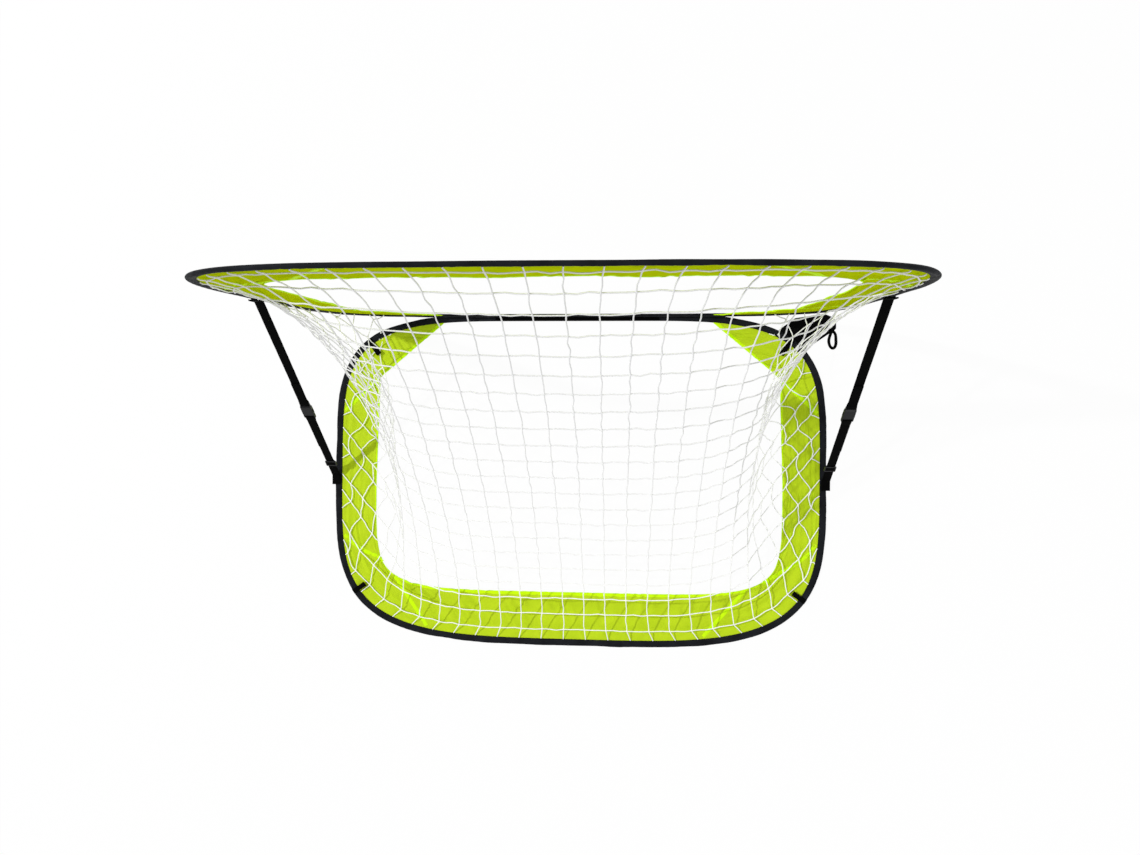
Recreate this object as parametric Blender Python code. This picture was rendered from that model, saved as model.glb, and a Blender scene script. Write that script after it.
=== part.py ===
"""Pop-up soccer goal: two sprung textile hoops sewn together along the ground bar.

The base hoop lies on the ground and the face hoop stands on its hinge bar as the mouth. Two straps hold
the hoops open and a knotted net closes the space between them. Metres, +Z up, the mouth faces -Y, and the
origin is at the middle of the footprint on the ground.
"""
import math

import bmesh
import bpy
from mathutils import Matrix, Vector

TAU = 2 * math.pi
MM = 0.001

# Hoops
HOOP_WIDTH = 1.200
HOOP_DEPTH = 0.810
HINGE_CORNER_POWER = 4.4
BASE_CORNER_POWER = 3.8
FACE_CORNER_POWER = 4.4
HINGE_STRAIGHTENING = 0.004
FACE_LEAN = math.radians(4)
HOOP_STATIONS = 56

# Sleeve, wire and ferrule
SLEEVE_WIDTH = 0.016
SLEEVE_THICKNESS = 0.008
SLEEVE_WALL = 0.001
WIRE_DIAMETER = 0.0036
WIRE_SETBACK = 0.0047
WIRE_JOIN_GAP = 0.001
FERRULE_LENGTH = 0.030
FERRULE_WALL = 0.0005
FERRULE_PLACE = 0.200

# Lime border
BORDER_THICKNESS = 0.0008
BORDER_TUCK = 0.004
SIDE_BAND = 0.103
FAR_BAND = 0.130
OPENING_CORNER_POWER = 6.0
GUSSET_BAR_END = 0.345
GUSSET_BAR_DEPTH = 0.032
GUSSET_SIDE_DEPTH = 0.155
GUSSET_SEAM_DEPTH = 0.245
FAR_SEAM_OUTER = 0.303
FAR_SEAM_INNER = 0.414
HEM_WIDTH = 0.008
HEM_THICKNESS = 0.0020
SEAM_GAP = 0.0003

# Hinge tape
HINGE_TAPE_THICKNESS = 0.0006
HINGE_TAPE_LEG = 0.007
HINGE_TAPE_LENGTH = 0.400

# Net
NET_CORD = 0.003
NET_COLUMNS = 24
NET_ROWS = 10
NET_SEAM = 0.0186
NET_CORNER_DEPTH = 0.075
NET_SAG = 0.105
NET_WAIST = 0.120

# Straps
STRAP_ANCHOR = 0.400
STRAP_WIDTH = 0.020
STRAP_THICKNESS = 0.0014
STRAP_LAP = 0.021
STRAP_INSET = 0.0030
TAB_THICKNESS = 0.0012
TAB_LENGTH = 0.026
TAB_MARGIN = 0.0003
TAB_SKIRT = 0.007
SLIDER_PLACE = 0.046
TAIL_END = 0.112
TONGUE_PLACE = 0.212
UPPER_TAIL = 0.064
LAYER_GAP = 0.0005
HEM_FOLD = 0.007

# Buckle and slider
FITTING_WIDTH = 0.026
FITTING_SLOT = 0.0038
FITTING_SLOT_WIDTH = 0.021
FITTING_BAR = 0.0032
SLIDER_THICKNESS = 0.003
TONGUE_THICKNESS = 0.0044
TONGUE_BODY = 0.0070
PRONG_LENGTH = 0.017
PRONG_WIDTH = 0.0030
PRONG_HEAD = 0.0022
GUIDE_WIDTH = 0.0050
GUIDE_LENGTH = 0.014
SOCKET_LENGTH = 0.030
SOCKET_THICKNESS = 0.009
SOCKET_WALL = 0.0021
SOCKET_TAIL_THICKNESS = 0.0042
CATCH_WINDOW = 0.008

# Peg loops, pouch and pull loop
LOOP_WIDTH = 0.012
LOOP_THICKNESS = 0.001
LOOP_EYE = 0.0065
FRONT_LOOP_REACH = 0.032
BACK_LOOP_REACH = 0.022
FRONT_LOOP_DEPTH = 0.060
BACK_LOOP_DEPTH = 0.690
POUCH_FIRST_DEPTH = 0.040
POUCH_LAST_DEPTH = 0.085
POUCH_OUTER_EDGE = ((0.5250, 0.0110), (0.5950, 0.0010), (0.6200, 0.0130), (0.6195, 0.0360))
POUCH_SHARES = (0.0, 0.12, 0.40, 0.65, 0.88, 1.0)
POUCH_THICKNESS = 0.008
POUCH_EDGE = 0.003
POUCH_FLAP_THICKNESS = 0.0012
POUCH_FLAP_START = 0.40
PULL_LOOP_LENGTH = 0.046
PULL_LOOP_BREADTH = 0.026
PULL_LOOP_STRIP = 0.007
PULL_LOOP_RISE = 0.0076

# Clearance between neighbouring solids
GAP = 0.0003

# Values that follow from the sizes above
HINGE_SETBACK = SLEEVE_THICKNESS + HINGE_TAPE_THICKNESS + GAP
MID_HEIGHT = SLEEVE_THICKNESS / 2
LIP = BORDER_THICKNESS / 2 + GAP
TAB_TOP = SLEEVE_THICKNESS + GAP + TAB_THICKNESS
CREASE_HEIGHT = TAB_TOP + GAP + STRAP_THICKNESS / 2
STRAP_OFFSET = HOOP_WIDTH / 2 - STRAP_INSET
HALF_DEPTH = HOOP_DEPTH / 2
SLIDER_LENGTH = 3 * FITTING_BAR + 2 * FITTING_SLOT
WIRE_CLEARANCE = 0.0012

LIME = (0.47, 0.62, 0.010)
BLACK_CLOTH = (0.018, 0.020, 0.026)
BLACK_WEBBING = (0.006, 0.006, 0.007)
BLACK_PLASTIC = (0.012, 0.012, 0.013)
NET_WHITE = (0.86, 0.87, 0.88)
SPRING_STEEL = (0.42, 0.43, 0.45)


def clear_scene():
    for thing in list(bpy.data.objects):
        bpy.data.objects.remove(thing, do_unlink=True)


def finish_material(name, colour, roughness, metallic=0.0):
    material = bpy.data.materials.new(name)
    material.use_nodes = True
    shader = material.node_tree.nodes["Principled BSDF"]
    shader.inputs["Base Color"].default_value = (*colour, 1.0)
    shader.inputs["Roughness"].default_value = roughness
    shader.inputs["Metallic"].default_value = metallic
    material.diffuse_color = (*colour, 1.0)
    return material


def add_mesh(name, verts, faces, material, parent=None):
    """One closed body from its points and faces, in its parent's own axes."""
    shape = bmesh.new()
    points = [shape.verts.new(point) for point in verts]
    for face in faces:
        shape.faces.new([points[index] for index in face])
    bmesh.ops.recalc_face_normals(shape, faces=shape.faces)
    mesh = bpy.data.meshes.new(name)
    shape.to_mesh(mesh)
    shape.free()
    return add_object(name, mesh, material, parent)


def add_object(name, mesh, material, parent=None):
    mesh.materials.clear()
    mesh.materials.append(material)
    piece = bpy.data.objects.new(name, mesh)
    bpy.context.collection.objects.link(piece)
    piece.parent = parent
    mesh.shade_smooth()
    mesh.set_sharp_from_angle(angle=math.radians(35))
    return piece


def add_pivot(name, location, turn=0.0, parent=None):
    """An empty on a joint's axis; its own X axis lies along that axis."""
    pivot = bpy.data.objects.new(name, None)
    bpy.context.collection.objects.link(pivot)
    pivot.empty_display_size = 0.03
    pivot.parent = parent
    pivot.location = location
    pivot.rotation_euler = (turn, 0.0, 0.0)
    return pivot


def sweep(sections, closed_path, closed_section=True):
    """Points and faces of a solid whose cross-sections are given in order along its path."""
    count = len(sections[0])
    verts = [point for section in sections for point in section]
    faces = []
    last = len(sections) if closed_path else len(sections) - 1
    for step in range(last):
        here = step * count
        after = ((step + 1) % len(sections)) * count
        for side in range(count):
            other = (side + 1) % count
            faces.append((here + side, here + other, after + other, after + side))
    if not closed_path:
        faces.append(tuple(range(count)))
        faces.append(tuple(len(verts) - 1 - index for index in range(count)))
    return verts, faces


class Hoop:
    """Outer edge of one hoop in plan: x across, d in depth from the hinge bar, round from the bar by +X."""

    FINE = 3600
    CORNER_WEIGHT = 0.30

    def __init__(self, far_power):
        self.points = [self.outline(index / self.FINE, far_power) for index in range(self.FINE)]
        self.reach = [0.0]
        for index in range(self.FINE):
            before = self.points[index - 1]
            here = self.points[index]
            after = self.points[(index + 1) % self.FINE]
            bend = (here - before).angle(after - here, 0.0)
            self.reach.append(self.reach[-1] + (after - here).length + self.CORNER_WEIGHT * bend)

    @staticmethod
    def outline(turn, far_power):
        angle = TAU * turn - math.pi / 2
        cosine = math.cos(angle)
        sine = math.sin(angle)
        power = HINGE_CORNER_POWER if sine < 0 else far_power
        across = math.copysign(abs(cosine) ** (2 / power), cosine)
        along = math.copysign(abs(sine) ** (2 / power), sine)
        depth = HALF_DEPTH * (1 + along)
        straight = depth * depth * (HOOP_DEPTH + HINGE_STRAIGHTENING)
        straight /= HOOP_DEPTH * (depth + HINGE_STRAIGHTENING)
        return Vector((HOOP_WIDTH / 2 * across, straight))

    def at(self, share):
        """Point on the edge and the inward normal there, for a share 0 to 1 of the way round."""
        target = (share % 1.0) * self.reach[-1]
        low, high = 0, self.FINE
        while high - low > 1:
            middle = (low + high) // 2
            if self.reach[middle] <= target:
                low = middle
            else:
                high = middle
        start = self.points[low]
        end = self.points[(low + 1) % self.FINE]
        span = self.reach[low + 1] - self.reach[low]
        point = start.lerp(end, (target - self.reach[low]) / span)
        along = self.points[(low + 3) % self.FINE] - self.points[low - 2]
        along.normalize()
        return point, Vector((-along.y, along.x))

    def share_where(self, passed):
        """The first share on the +X half of the way where the given test of a point holds."""
        for index in range(self.FINE // 2):
            if passed(self.points[index]):
                return self.reach[index] / self.reach[-1]
        return 0.5


def base_place(x, d, h):
    """Where a point of the base hoop lies: x across, d from the hinge bar, h above the ground."""
    return Vector((x, d - HALF_DEPTH, h))


def face_place(x, d, h):
    """The same for the face hoop, in the axes of its hinge, h measured from its front towards the net."""
    return Vector((x, d, HINGE_SETBACK - h))


def sleeve_section():
    """Cross-section (inward u, height h) of the sleeve, open inward along a slot for the border."""
    top = SLEEVE_THICKNESS
    middle = MID_HEIGHT
    wall = SLEEVE_WALL
    crown = 0.42 * middle
    shoulder = 0.30 * middle
    lip_outer = LIP + wall
    channel_far = WIRE_SETBACK + 0.0019
    channel_near = WIRE_SETBACK - 0.0017
    return [
        (SLEEVE_WIDTH, middle + lip_outer),
        (WIRE_SETBACK + 0.0015, top),
        (crown * 2, top),
        (shoulder, top - shoulder),
        (0.0, middle),
        (shoulder, shoulder),
        (crown * 2, 0.0),
        (SLEEVE_WIDTH - 0.0045, 0.0),
        (SLEEVE_WIDTH, middle - lip_outer),
        (SLEEVE_WIDTH, middle - LIP),
        (channel_far, wall),
        (channel_near, wall),
        (wall, middle),
        (channel_near, top - wall),
        (channel_far, top - wall),
        (SLEEVE_WIDTH, middle + LIP),
    ]


def hoop_sleeve(name, hoop, place, material, parent=None):
    sections = []
    for step in range(HOOP_STATIONS):
        point, inward = hoop.at(step / HOOP_STATIONS)
        row = []
        for depth, height in sleeve_section():
            spot = point + inward * depth
            row.append(place(spot.x, spot.y, height))
        sections.append(row)
    verts, faces = sweep(sections, closed_path=True)
    return add_mesh(name, verts, faces, material, parent)


def ring_points(radius, sides, turn=0.0):
    return [(radius * math.cos(TAU * k / sides + turn), radius * math.sin(TAU * k / sides + turn))
            for k in range(sides)]


def ferrule_share(hoop):
    return hoop.share_where(lambda point: point.x >= FERRULE_PLACE)


def hoop_wire(name, hoop, place, material, parent=None):
    """Spring wire from one side of its join round to the other."""
    centre = ferrule_share(hoop)
    total = sum((hoop.points[i] - hoop.points[i - 1]).length for i in range(hoop.FINE))
    half_gap = WIRE_JOIN_GAP / 2 / total
    sections = []
    steps = HOOP_STATIONS
    for step in range(steps + 1):
        share = centre + half_gap + (1 - 2 * half_gap) * step / steps
        point, inward = hoop.at(share)
        row = []
        for depth, height in ring_points(WIRE_DIAMETER / 2, 6):
            spot = point + inward * (WIRE_SETBACK + depth)
            row.append(place(spot.x, spot.y, MID_HEIGHT + height))
        sections.append(row)
    verts, faces = sweep(sections, closed_path=False)
    return add_mesh(name, verts, faces, material, parent)


def hoop_ferrule(name, hoop, place, material, parent=None):
    """Crimp tube over the wire's two ends."""
    sides = 10
    bore = (WIRE_DIAMETER / 2 + GAP) / math.cos(math.pi / sides)
    outer = bore + FERRULE_WALL
    point, inward = hoop.at(ferrule_share(hoop))
    along = Vector((inward.y, -inward.x))
    centre = point + inward * WIRE_SETBACK
    stations = [(bore, -0.5), (outer, -0.5), (outer, 0.5), (bore, 0.5)]
    sections = []
    for radius, offset in stations:
        row = []
        for depth, height in ring_points(radius, sides):
            spot = centre + along * (offset * FERRULE_LENGTH) + inward * depth
            row.append(place(spot.x, spot.y, MID_HEIGHT + height))
        sections.append(row)
    verts, faces = sweep(sections, closed_path=True)
    return add_mesh(name, verts, faces, material, parent)


def opening_edge(angle):
    """Inner edge of the border past the middle of the hoop; angle 0 is its +X side, a quarter turn its far end."""
    cosine = math.cos(angle)
    sine = math.sin(angle)
    across = math.copysign(abs(cosine) ** (2 / OPENING_CORNER_POWER), cosine)
    along = abs(sine) ** (2 / OPENING_CORNER_POWER)
    half_width = HOOP_WIDTH / 2 - SIDE_BAND
    return Vector((half_width * across, HALF_DEPTH + (HALF_DEPTH - FAR_BAND) * along))


def far_seam_angle():
    """Angle on the opening's edge where the side band meets the far band."""
    share = FAR_SEAM_INNER / (HOOP_WIDTH / 2 - SIDE_BAND)
    return math.acos(share ** (OPENING_CORNER_POWER / 2))


def gusset_corner():
    """Where the gusset's slanted hem meets the side band's hem."""
    slope = 0.008
    return Vector((HOOP_WIDTH / 2 - SIDE_BAND - slope, GUSSET_SIDE_DEPTH))


def resample(points, count):
    """Points at equal steps along a line of points."""
    reach = [0.0]
    for before, after in zip(points, points[1:]):
        reach.append(reach[-1] + (after - before).length)
    result = []
    index = 0
    for step in range(count + 1):
        target = reach[-1] * step / count
        while index < len(points) - 2 and reach[index + 1] < target:
            index += 1
        span = reach[index + 1] - reach[index]
        result.append(points[index].lerp(points[index + 1], (target - reach[index]) / span))
    return result


def gusset_outline(hoop, steps):
    start = hoop.share_where(lambda point: point.x >= GUSSET_BAR_END)
    end = hoop.share_where(lambda point: point.y >= GUSSET_SEAM_DEPTH)
    outer = [tucked_edge(hoop, start + (end - start) * k / steps) for k in range(steps + 1)]
    inner = resample([Vector((GUSSET_BAR_END, GUSSET_BAR_DEPTH)), gusset_corner()], steps)
    return outer, inner


def side_band_outline(hoop, steps):
    start = hoop.share_where(lambda point: point.y >= GUSSET_SEAM_DEPTH)
    end = hoop.share_where(lambda point: point.y > HALF_DEPTH and point.x <= FAR_SEAM_OUTER)
    outer = [tucked_edge(hoop, start + (end - start) * k / steps) for k in range(steps + 1)]
    last = far_seam_angle()
    curve = [gusset_corner()] + [opening_edge(last * (k / 40) ** 3) for k in range(41)]
    return outer, resample(curve, steps)


def far_band_outline(hoop, steps):
    start = hoop.share_where(lambda point: point.y > HALF_DEPTH and point.x <= FAR_SEAM_OUTER)
    outer = [tucked_edge(hoop, start + (1 - 2 * start) * k / steps) for k in range(steps + 1)]
    first = far_seam_angle()
    curve = [opening_edge(first + (math.pi - 2 * first) * k / 60) for k in range(61)]
    return outer, resample(curve, steps)


def tucked_edge(hoop, share):
    point, inward = hoop.at(share)
    return point + inward * (SLEEVE_WIDTH - BORDER_TUCK)


def border_strip(name, outline, place, material, parent=None, mirror=1, plain_ends=0):
    """One strip of the border: thin cloth tucked into the sleeve, with a thicker hem along the opening."""
    outer, inner = outline
    last = len(outer) - 1
    sections = []
    for step, (edge, hem) in enumerate(zip(outer, inner)):
        across = hem - edge
        span = across.length
        across.normalize()
        shift = seam_shift(outer, inner, step, last)
        fold = span - HEM_WIDTH
        thick = HEM_THICKNESS / 2
        if plain_ends and step == 0:
            thick = BORDER_THICKNESS / 2 + 0.0001
        thin = BORDER_THICKNESS / 2
        profile = [(0, thin), (fold - 0.0005, thin), (fold, thick), (span, thick),
                   (span, -thick), (fold, -thick), (fold - 0.0005, -thin), (0, -thin)]
        row = []
        for reach, height in profile:
            spot = edge + across * reach + shift
            row.append(place(mirror * spot.x, spot.y, MID_HEIGHT + height))
        sections.append(row)
    verts, faces = sweep(sections, closed_path=False)
    return add_mesh(name, verts, faces, material, parent)


def seam_shift(outer, inner, step, last):
    """Half the seam gap, away from the neighbouring strip, at a strip's two ends."""
    if step not in (0, last):
        return Vector((0.0, 0.0))
    inside = 1 if step == 0 else last - 1
    across = (inner[step] - outer[step]).normalized()
    away = (outer[inside] + inner[inside]) / 2 - (outer[step] + inner[step]) / 2
    square = away - across * away.dot(across)
    return square.normalized() * SEAM_GAP


def border(prefix, far_name, hoop, place, material, parent=None):
    for side, mirror in (("left", 1), ("right", -1)):
        border_strip(f"{prefix}_corner_gusset_{side}", gusset_outline(hoop, 9), place, material, parent,
                     mirror, plain_ends=1)
        border_strip(f"{prefix}_side_band_{side}", side_band_outline(hoop, 14), place, material, parent,
                     mirror)
    border_strip(f"{prefix}_{far_name}_band", far_band_outline(hoop, 12), place, material, parent)


def hinge_tape(material):
    """Angled strip behind the two hinge bars, one leg along each; the fold bends it at its inner edge."""
    near = HINGE_SETBACK
    thick = HINGE_TAPE_THICKNESS
    lean = math.sin(FACE_LEAN)
    low = SLEEVE_THICKNESS + GAP
    top = low + HINGE_TAPE_LEG
    front = near - thick / 2
    profile = [
        (front, low), (near + HINGE_TAPE_LEG, low), (near + HINGE_TAPE_LEG, low + thick),
        (front + thick, low + thick), (front + thick + HINGE_TAPE_LEG * lean, top),
        (front + HINGE_TAPE_LEG * lean, top),
    ]
    sections = []
    for x in (-HINGE_TAPE_LENGTH / 2, HINGE_TAPE_LENGTH / 2):
        sections.append([base_place(x, d, h) for d, h in profile])
    verts, faces = sweep(sections, closed_path=False)
    return add_mesh("hinge_tape", verts, faces, material)


def net_edge(hoop, share, place):
    """Point of the net's edge, laced along the seam between the sleeve and the border."""
    point, inward = hoop.at(share)
    spot = point + inward * NET_SEAM
    return place(spot.x, spot.y, MID_HEIGHT + BORDER_THICKNESS / 2 + GAP + NET_CORD / 2 + 0.0002)


def net_surface(base_hoop, face_hoop, face_pivot):
    """Grid of net points: columns run from the face hoop down and back to the base hoop."""
    upright = face_pivot.matrix_basis
    base_first = base_hoop.share_where(lambda point: point.y >= NET_CORNER_DEPTH)
    face_first = face_hoop.share_where(lambda point: point.y >= NET_CORNER_DEPTH)
    grid = []
    for column in range(NET_COLUMNS + 1):
        way = column / NET_COLUMNS
        top = upright @ net_edge(face_hoop, face_first + (1 - 2 * face_first) * way, face_place)
        low = net_edge(base_hoop, base_first + (1 - 2 * base_first) * way, base_place)
        reach = min(1.0, (low - top).length / HOOP_DEPTH)
        line = []
        for row in range(NET_ROWS + 1):
            share = row / NET_ROWS
            belly = 4 * share * (1 - share)
            point = top.lerp(low, share)
            sag = NET_SAG * reach * reach * belly
            point.y -= 0.707 * sag
            point.z -= 0.707 * sag
            point.x *= 1 - NET_WAIST * belly * reach
            line.append(point)
        grid.append(line)
    return grid


def goal_net(base_hoop, face_hoop, face_pivot, material):
    grid = net_surface(base_hoop, face_hoop, face_pivot)
    verts = [point for line in grid for point in line]
    rows = NET_ROWS + 1
    faces = []
    for column in range(NET_COLUMNS):
        for row in range(NET_ROWS):
            corner = column * rows + row
            faces.append((corner, corner + 1, corner + rows + 1, corner + rows))
    mesh = bpy.data.meshes.new("net")
    mesh.from_pydata(verts, [], faces)
    net = bpy.data.objects.new("net", mesh)
    bpy.context.collection.objects.link(net)
    mesh.materials.append(material)
    cords = net.modifiers.new("cords", "WIREFRAME")
    cords.thickness = NET_CORD
    cords.offset = 0.0
    cords.use_even_offset = False
    cords.use_boundary = True
    cords.use_replace = True
    return net


def strap_tab(name, place, side, material, parent=None):
    """Sewn tab on top of the sleeve that carries a strap's end, turned down over the sleeve's outer side."""
    low = SLEEVE_THICKNESS + GAP
    outboard = STRAP_INSET - STRAP_WIDTH / 2 - TAB_MARGIN
    inboard = STRAP_INSET + STRAP_WIDTH / 2 + TAB_MARGIN
    near = -(GAP + 0.0002)
    far = near - TAB_THICKNESS
    profile = [(inboard, low), (inboard, TAB_TOP), (outboard, TAB_TOP), (outboard, low),
               (far, low), (far, low - TAB_SKIRT), (near, low - TAB_SKIRT), (near, low)]
    sections = []
    start = STRAP_ANCHOR - 0.003
    for d in (start, start + TAB_LENGTH):
        sections.append([place(side * (HOOP_WIDTH / 2 - u), d, h) for u, h in profile])
    verts, faces = sweep(sections, closed_path=False)
    return add_mesh(name, verts, faces, material, parent)


def ribbon(name, path, width, thickness, material, parent, thickness_at_end=None):
    """Webbing along a path in its pivot's YZ plane, its width along X."""
    points = [Vector(point) for point in path]
    sections = []
    for index, point in enumerate(points):
        before = points[index - 1] if index else None
        after = points[index + 1] if index + 1 < len(points) else None
        into = (point - before).normalized() if before is not None else (after - point).normalized()
        out = (after - point).normalized() if after is not None else into
        along = (into + out).normalized()
        stretch = 1 / max(0.5, along.dot(out))
        normal = Vector((-along.y, along.x)) * stretch
        half = thickness / 2
        if thickness_at_end and index >= len(points) - 2:
            half = thickness_at_end / 2
        row = []
        for x, lift in ((-width / 2, -half), (width / 2, -half), (width / 2, half), (-width / 2, half)):
            spot = point + normal * lift
            row.append((x, spot.x, spot.y))
        sections.append(row)
    verts, faces = sweep(sections, closed_path=False)
    return add_mesh(name, verts, faces, material, parent)


def turn_round_bar(centre, half_thickness):
    """Path points round the far side of a fitting's bar, from z above it to z below it."""
    clear = GAP + STRAP_THICKNESS / 2
    corner = 0.4 * clear
    side = FITTING_BAR / 2
    return [(centre + side + corner, half_thickness + clear), (centre + side + clear, half_thickness + corner),
            (centre + side + clear, -half_thickness - corner), (centre + side + corner, -half_thickness - clear)]


def lower_strap(name, lift, pivot, material):
    """Lap on the base tab, weave through the slider, round the tongue's bar and back to the tail."""
    lap = (-STRAP_LAP * math.cos(lift), -STRAP_LAP * math.sin(lift))
    weave = SLIDER_THICKNESS / 2 + GAP + STRAP_THICKNESS / 2
    slot = FITTING_BAR / 2 + FITTING_SLOT / 2
    outer = SLIDER_LENGTH / 2 + 0.0006
    near = SLIDER_PLACE
    radius = TONGUE_THICKNESS / 2 + GAP + STRAP_THICKNESS / 2
    tail = -(STRAP_THICKNESS + LAYER_GAP)
    hem = -(STRAP_THICKNESS / 2 + LAYER_GAP + 0.0015)
    path = [
        lap, (0.0, 0.0), (near - outer - 0.003, 0.0), (near - outer, weave), (near - slot, weave),
        (near - slot, -weave), (near + slot, -weave), (near + slot, weave), (near + outer, weave),
        (near + outer + 0.003, 0.0), (TONGUE_PLACE - 0.012, 0.0), (TONGUE_PLACE - 0.004, radius),
    ]
    path += turn_round_bar(TONGUE_PLACE, TONGUE_THICKNESS / 2)
    path += [(TONGUE_PLACE - 0.004, -radius), (TONGUE_PLACE - 0.012, tail),
             (TAIL_END + HEM_FOLD + 0.001, tail), (TAIL_END + HEM_FOLD, hem), (TAIL_END, hem)]
    return ribbon(name, path, STRAP_WIDTH, STRAP_THICKNESS, material, pivot, thickness_at_end=0.0026)


def upper_strap(name, lift, reach, pivot, material):
    """Lap on the face tab, down to the socket's bar, round it and back to the sewn end."""
    lap = (-STRAP_LAP * math.cos(lift), STRAP_LAP * math.sin(lift))
    half_bar = SOCKET_TAIL_THICKNESS / 2 + 0.0001
    radius = half_bar + GAP + STRAP_THICKNESS / 2
    tail = STRAP_THICKNESS + LAYER_GAP
    path = [lap, (0.0, 0.0), (reach - 0.014, 0.0), (reach - 0.005, -radius)]
    path += [(y, -z) for y, z in turn_round_bar(reach, half_bar)]
    path += [(reach - 0.005, radius), (reach - 0.014, tail), (reach - UPPER_TAIL, tail)]
    return ribbon(name, path, STRAP_WIDTH, STRAP_THICKNESS, material, pivot)


def prism(outline, half_height):
    """Closed mesh of a flat outline (x, y), as thick as twice the given half height."""
    shape = bmesh.new()
    low = [shape.verts.new((x, y, -half_height)) for x, y in outline]
    face = shape.faces.new(low)
    extruded = bmesh.ops.extrude_face_region(shape, geom=[face])
    raised = [item for item in extruded["geom"] if isinstance(item, bmesh.types.BMVert)]
    bmesh.ops.translate(shape, verts=raised, vec=(0, 0, 2 * half_height))
    bmesh.ops.recalc_face_normals(shape, faces=shape.faces)
    mesh = bpy.data.meshes.new("prism")
    shape.to_mesh(mesh)
    shape.free()
    return mesh


def box_outline(half_width, low, high):
    return [(-half_width, low), (half_width, low), (half_width, high), (-half_width, high)]


def rounded_outline(half_width, low, high, radius, steps=3):
    """Rectangle with round corners, from its lower right corner round."""
    corners = [(half_width - radius, low + radius, -90), (half_width - radius, high - radius, 0),
               (-half_width + radius, high - radius, 90), (-half_width + radius, low + radius, 180)]
    outline = []
    for x, y, start in corners:
        for step in range(steps + 1):
            angle = math.radians(start + 90 * step / steps)
            outline.append((x + radius * math.cos(angle), y + radius * math.sin(angle)))
    return outline


def carve(mesh, cutters):
    """The mesh less each cutter mesh."""
    body = bpy.data.objects.new("carved", mesh)
    bpy.context.collection.objects.link(body)
    helpers = []
    for cutter_mesh in cutters:
        cutter = bpy.data.objects.new("cutter", cutter_mesh)
        bpy.context.collection.objects.link(cutter)
        cutter.hide_render = True
        cutter.display_type = "WIRE"
        cut = body.modifiers.new("cut", "BOOLEAN")
        cut.operation = "DIFFERENCE"
        cut.solver = "EXACT"
        cut.object = cutter
        helpers.append(cutter)
    bpy.context.view_layer.update()
    depsgraph = bpy.context.evaluated_depsgraph_get()
    carved = bpy.data.meshes.new_from_object(body.evaluated_get(depsgraph))
    for helper in helpers + [body]:
        bpy.data.objects.remove(helper, do_unlink=True)
    return carved


def slot_cutter(low):
    return prism(box_outline(FITTING_SLOT_WIDTH / 2, low, low + FITTING_SLOT), 0.01)


def slider_mesh():
    """Three-bar slider, centred on its middle bar."""
    frame = prism(rounded_outline(FITTING_WIDTH / 2, -SLIDER_LENGTH / 2, SLIDER_LENGTH / 2, 0.002),
                  SLIDER_THICKNESS / 2)
    first = -FITTING_BAR / 2 - FITTING_SLOT
    return carve(frame, [slot_cutter(first), slot_cutter(FITTING_BAR / 2)])


def tongue_shoulder():
    """Distance from the tongue's bar to its shoulder, which meets the socket's mouth."""
    return FITTING_BAR / 2 + FITTING_SLOT + TONGUE_BODY


def tongue_mesh():
    """Buckle's male half: webbing bar, body, middle guide and two sprung prongs with catches."""
    half = FITTING_WIDTH / 2
    shoulder = tongue_shoulder()
    inner_wall = half - SOCKET_WALL - GAP
    tip = shoulder + PRONG_LENGTH
    catch = shoulder + CATCH_WINDOW * 0.85
    root = inner_wall - PRONG_WIDTH - PRONG_HEAD * 0.4
    prong = [
        (root, shoulder), (inner_wall - PRONG_HEAD, catch), (inner_wall, catch + 0.0006),
        (inner_wall, catch + 0.0030), (inner_wall - PRONG_WIDTH, tip),
        (inner_wall - PRONG_WIDTH - PRONG_HEAD, tip), (inner_wall - PRONG_WIDTH - PRONG_HEAD, catch),
        (root - PRONG_WIDTH, shoulder),
    ]
    guide = [(GUIDE_WIDTH / 2, shoulder), (GUIDE_WIDTH / 2, shoulder + GUIDE_LENGTH - 0.001),
             (GUIDE_WIDTH / 2 - 0.001, shoulder + GUIDE_LENGTH)]
    right = [(half - 0.001, -FITTING_BAR / 2), (half, -FITTING_BAR / 2 + 0.001), (half, shoulder - 0.001),
             (half - 0.001, shoulder)] + prong + guide
    outline = right + [(-x, y) for x, y in reversed(right)]
    return carve(prism(outline, TONGUE_THICKNESS / 2), [slot_cutter(FITTING_BAR / 2)])


def socket_body():
    """Solid outside of the socket: full at its mouth, thinning to the webbing bar."""
    half = FITTING_WIDTH / 2
    thick = SOCKET_THICKNESS / 2
    tail = SOCKET_TAIL_THICKNESS / 2
    stations = [(0.0, half, thick), (SOCKET_LENGTH * 0.66, half - 0.0004, thick),
                (SOCKET_LENGTH * 0.78, half - 0.0008, tail + 0.0002), (SOCKET_LENGTH, half - 0.0012, tail)]
    soft = 0.0014
    sections = []
    for y, width, height in stations:
        section = [(width, -height + soft), (width, height - soft), (width - soft, height),
                   (-width + soft, height), (-width, height - soft), (-width, -height + soft),
                   (-width + soft, -height), (width - soft, -height)]
        sections.append([(x, y, z) for x, z in section])
    verts, faces = sweep(sections, closed_path=False)
    shape = bmesh.new()
    points = [shape.verts.new(point) for point in verts]
    for face in faces:
        shape.faces.new([points[index] for index in face])
    bmesh.ops.recalc_face_normals(shape, faces=shape.faces)
    mesh = bpy.data.meshes.new("socket_body")
    shape.to_mesh(mesh)
    shape.free()
    return mesh


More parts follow.
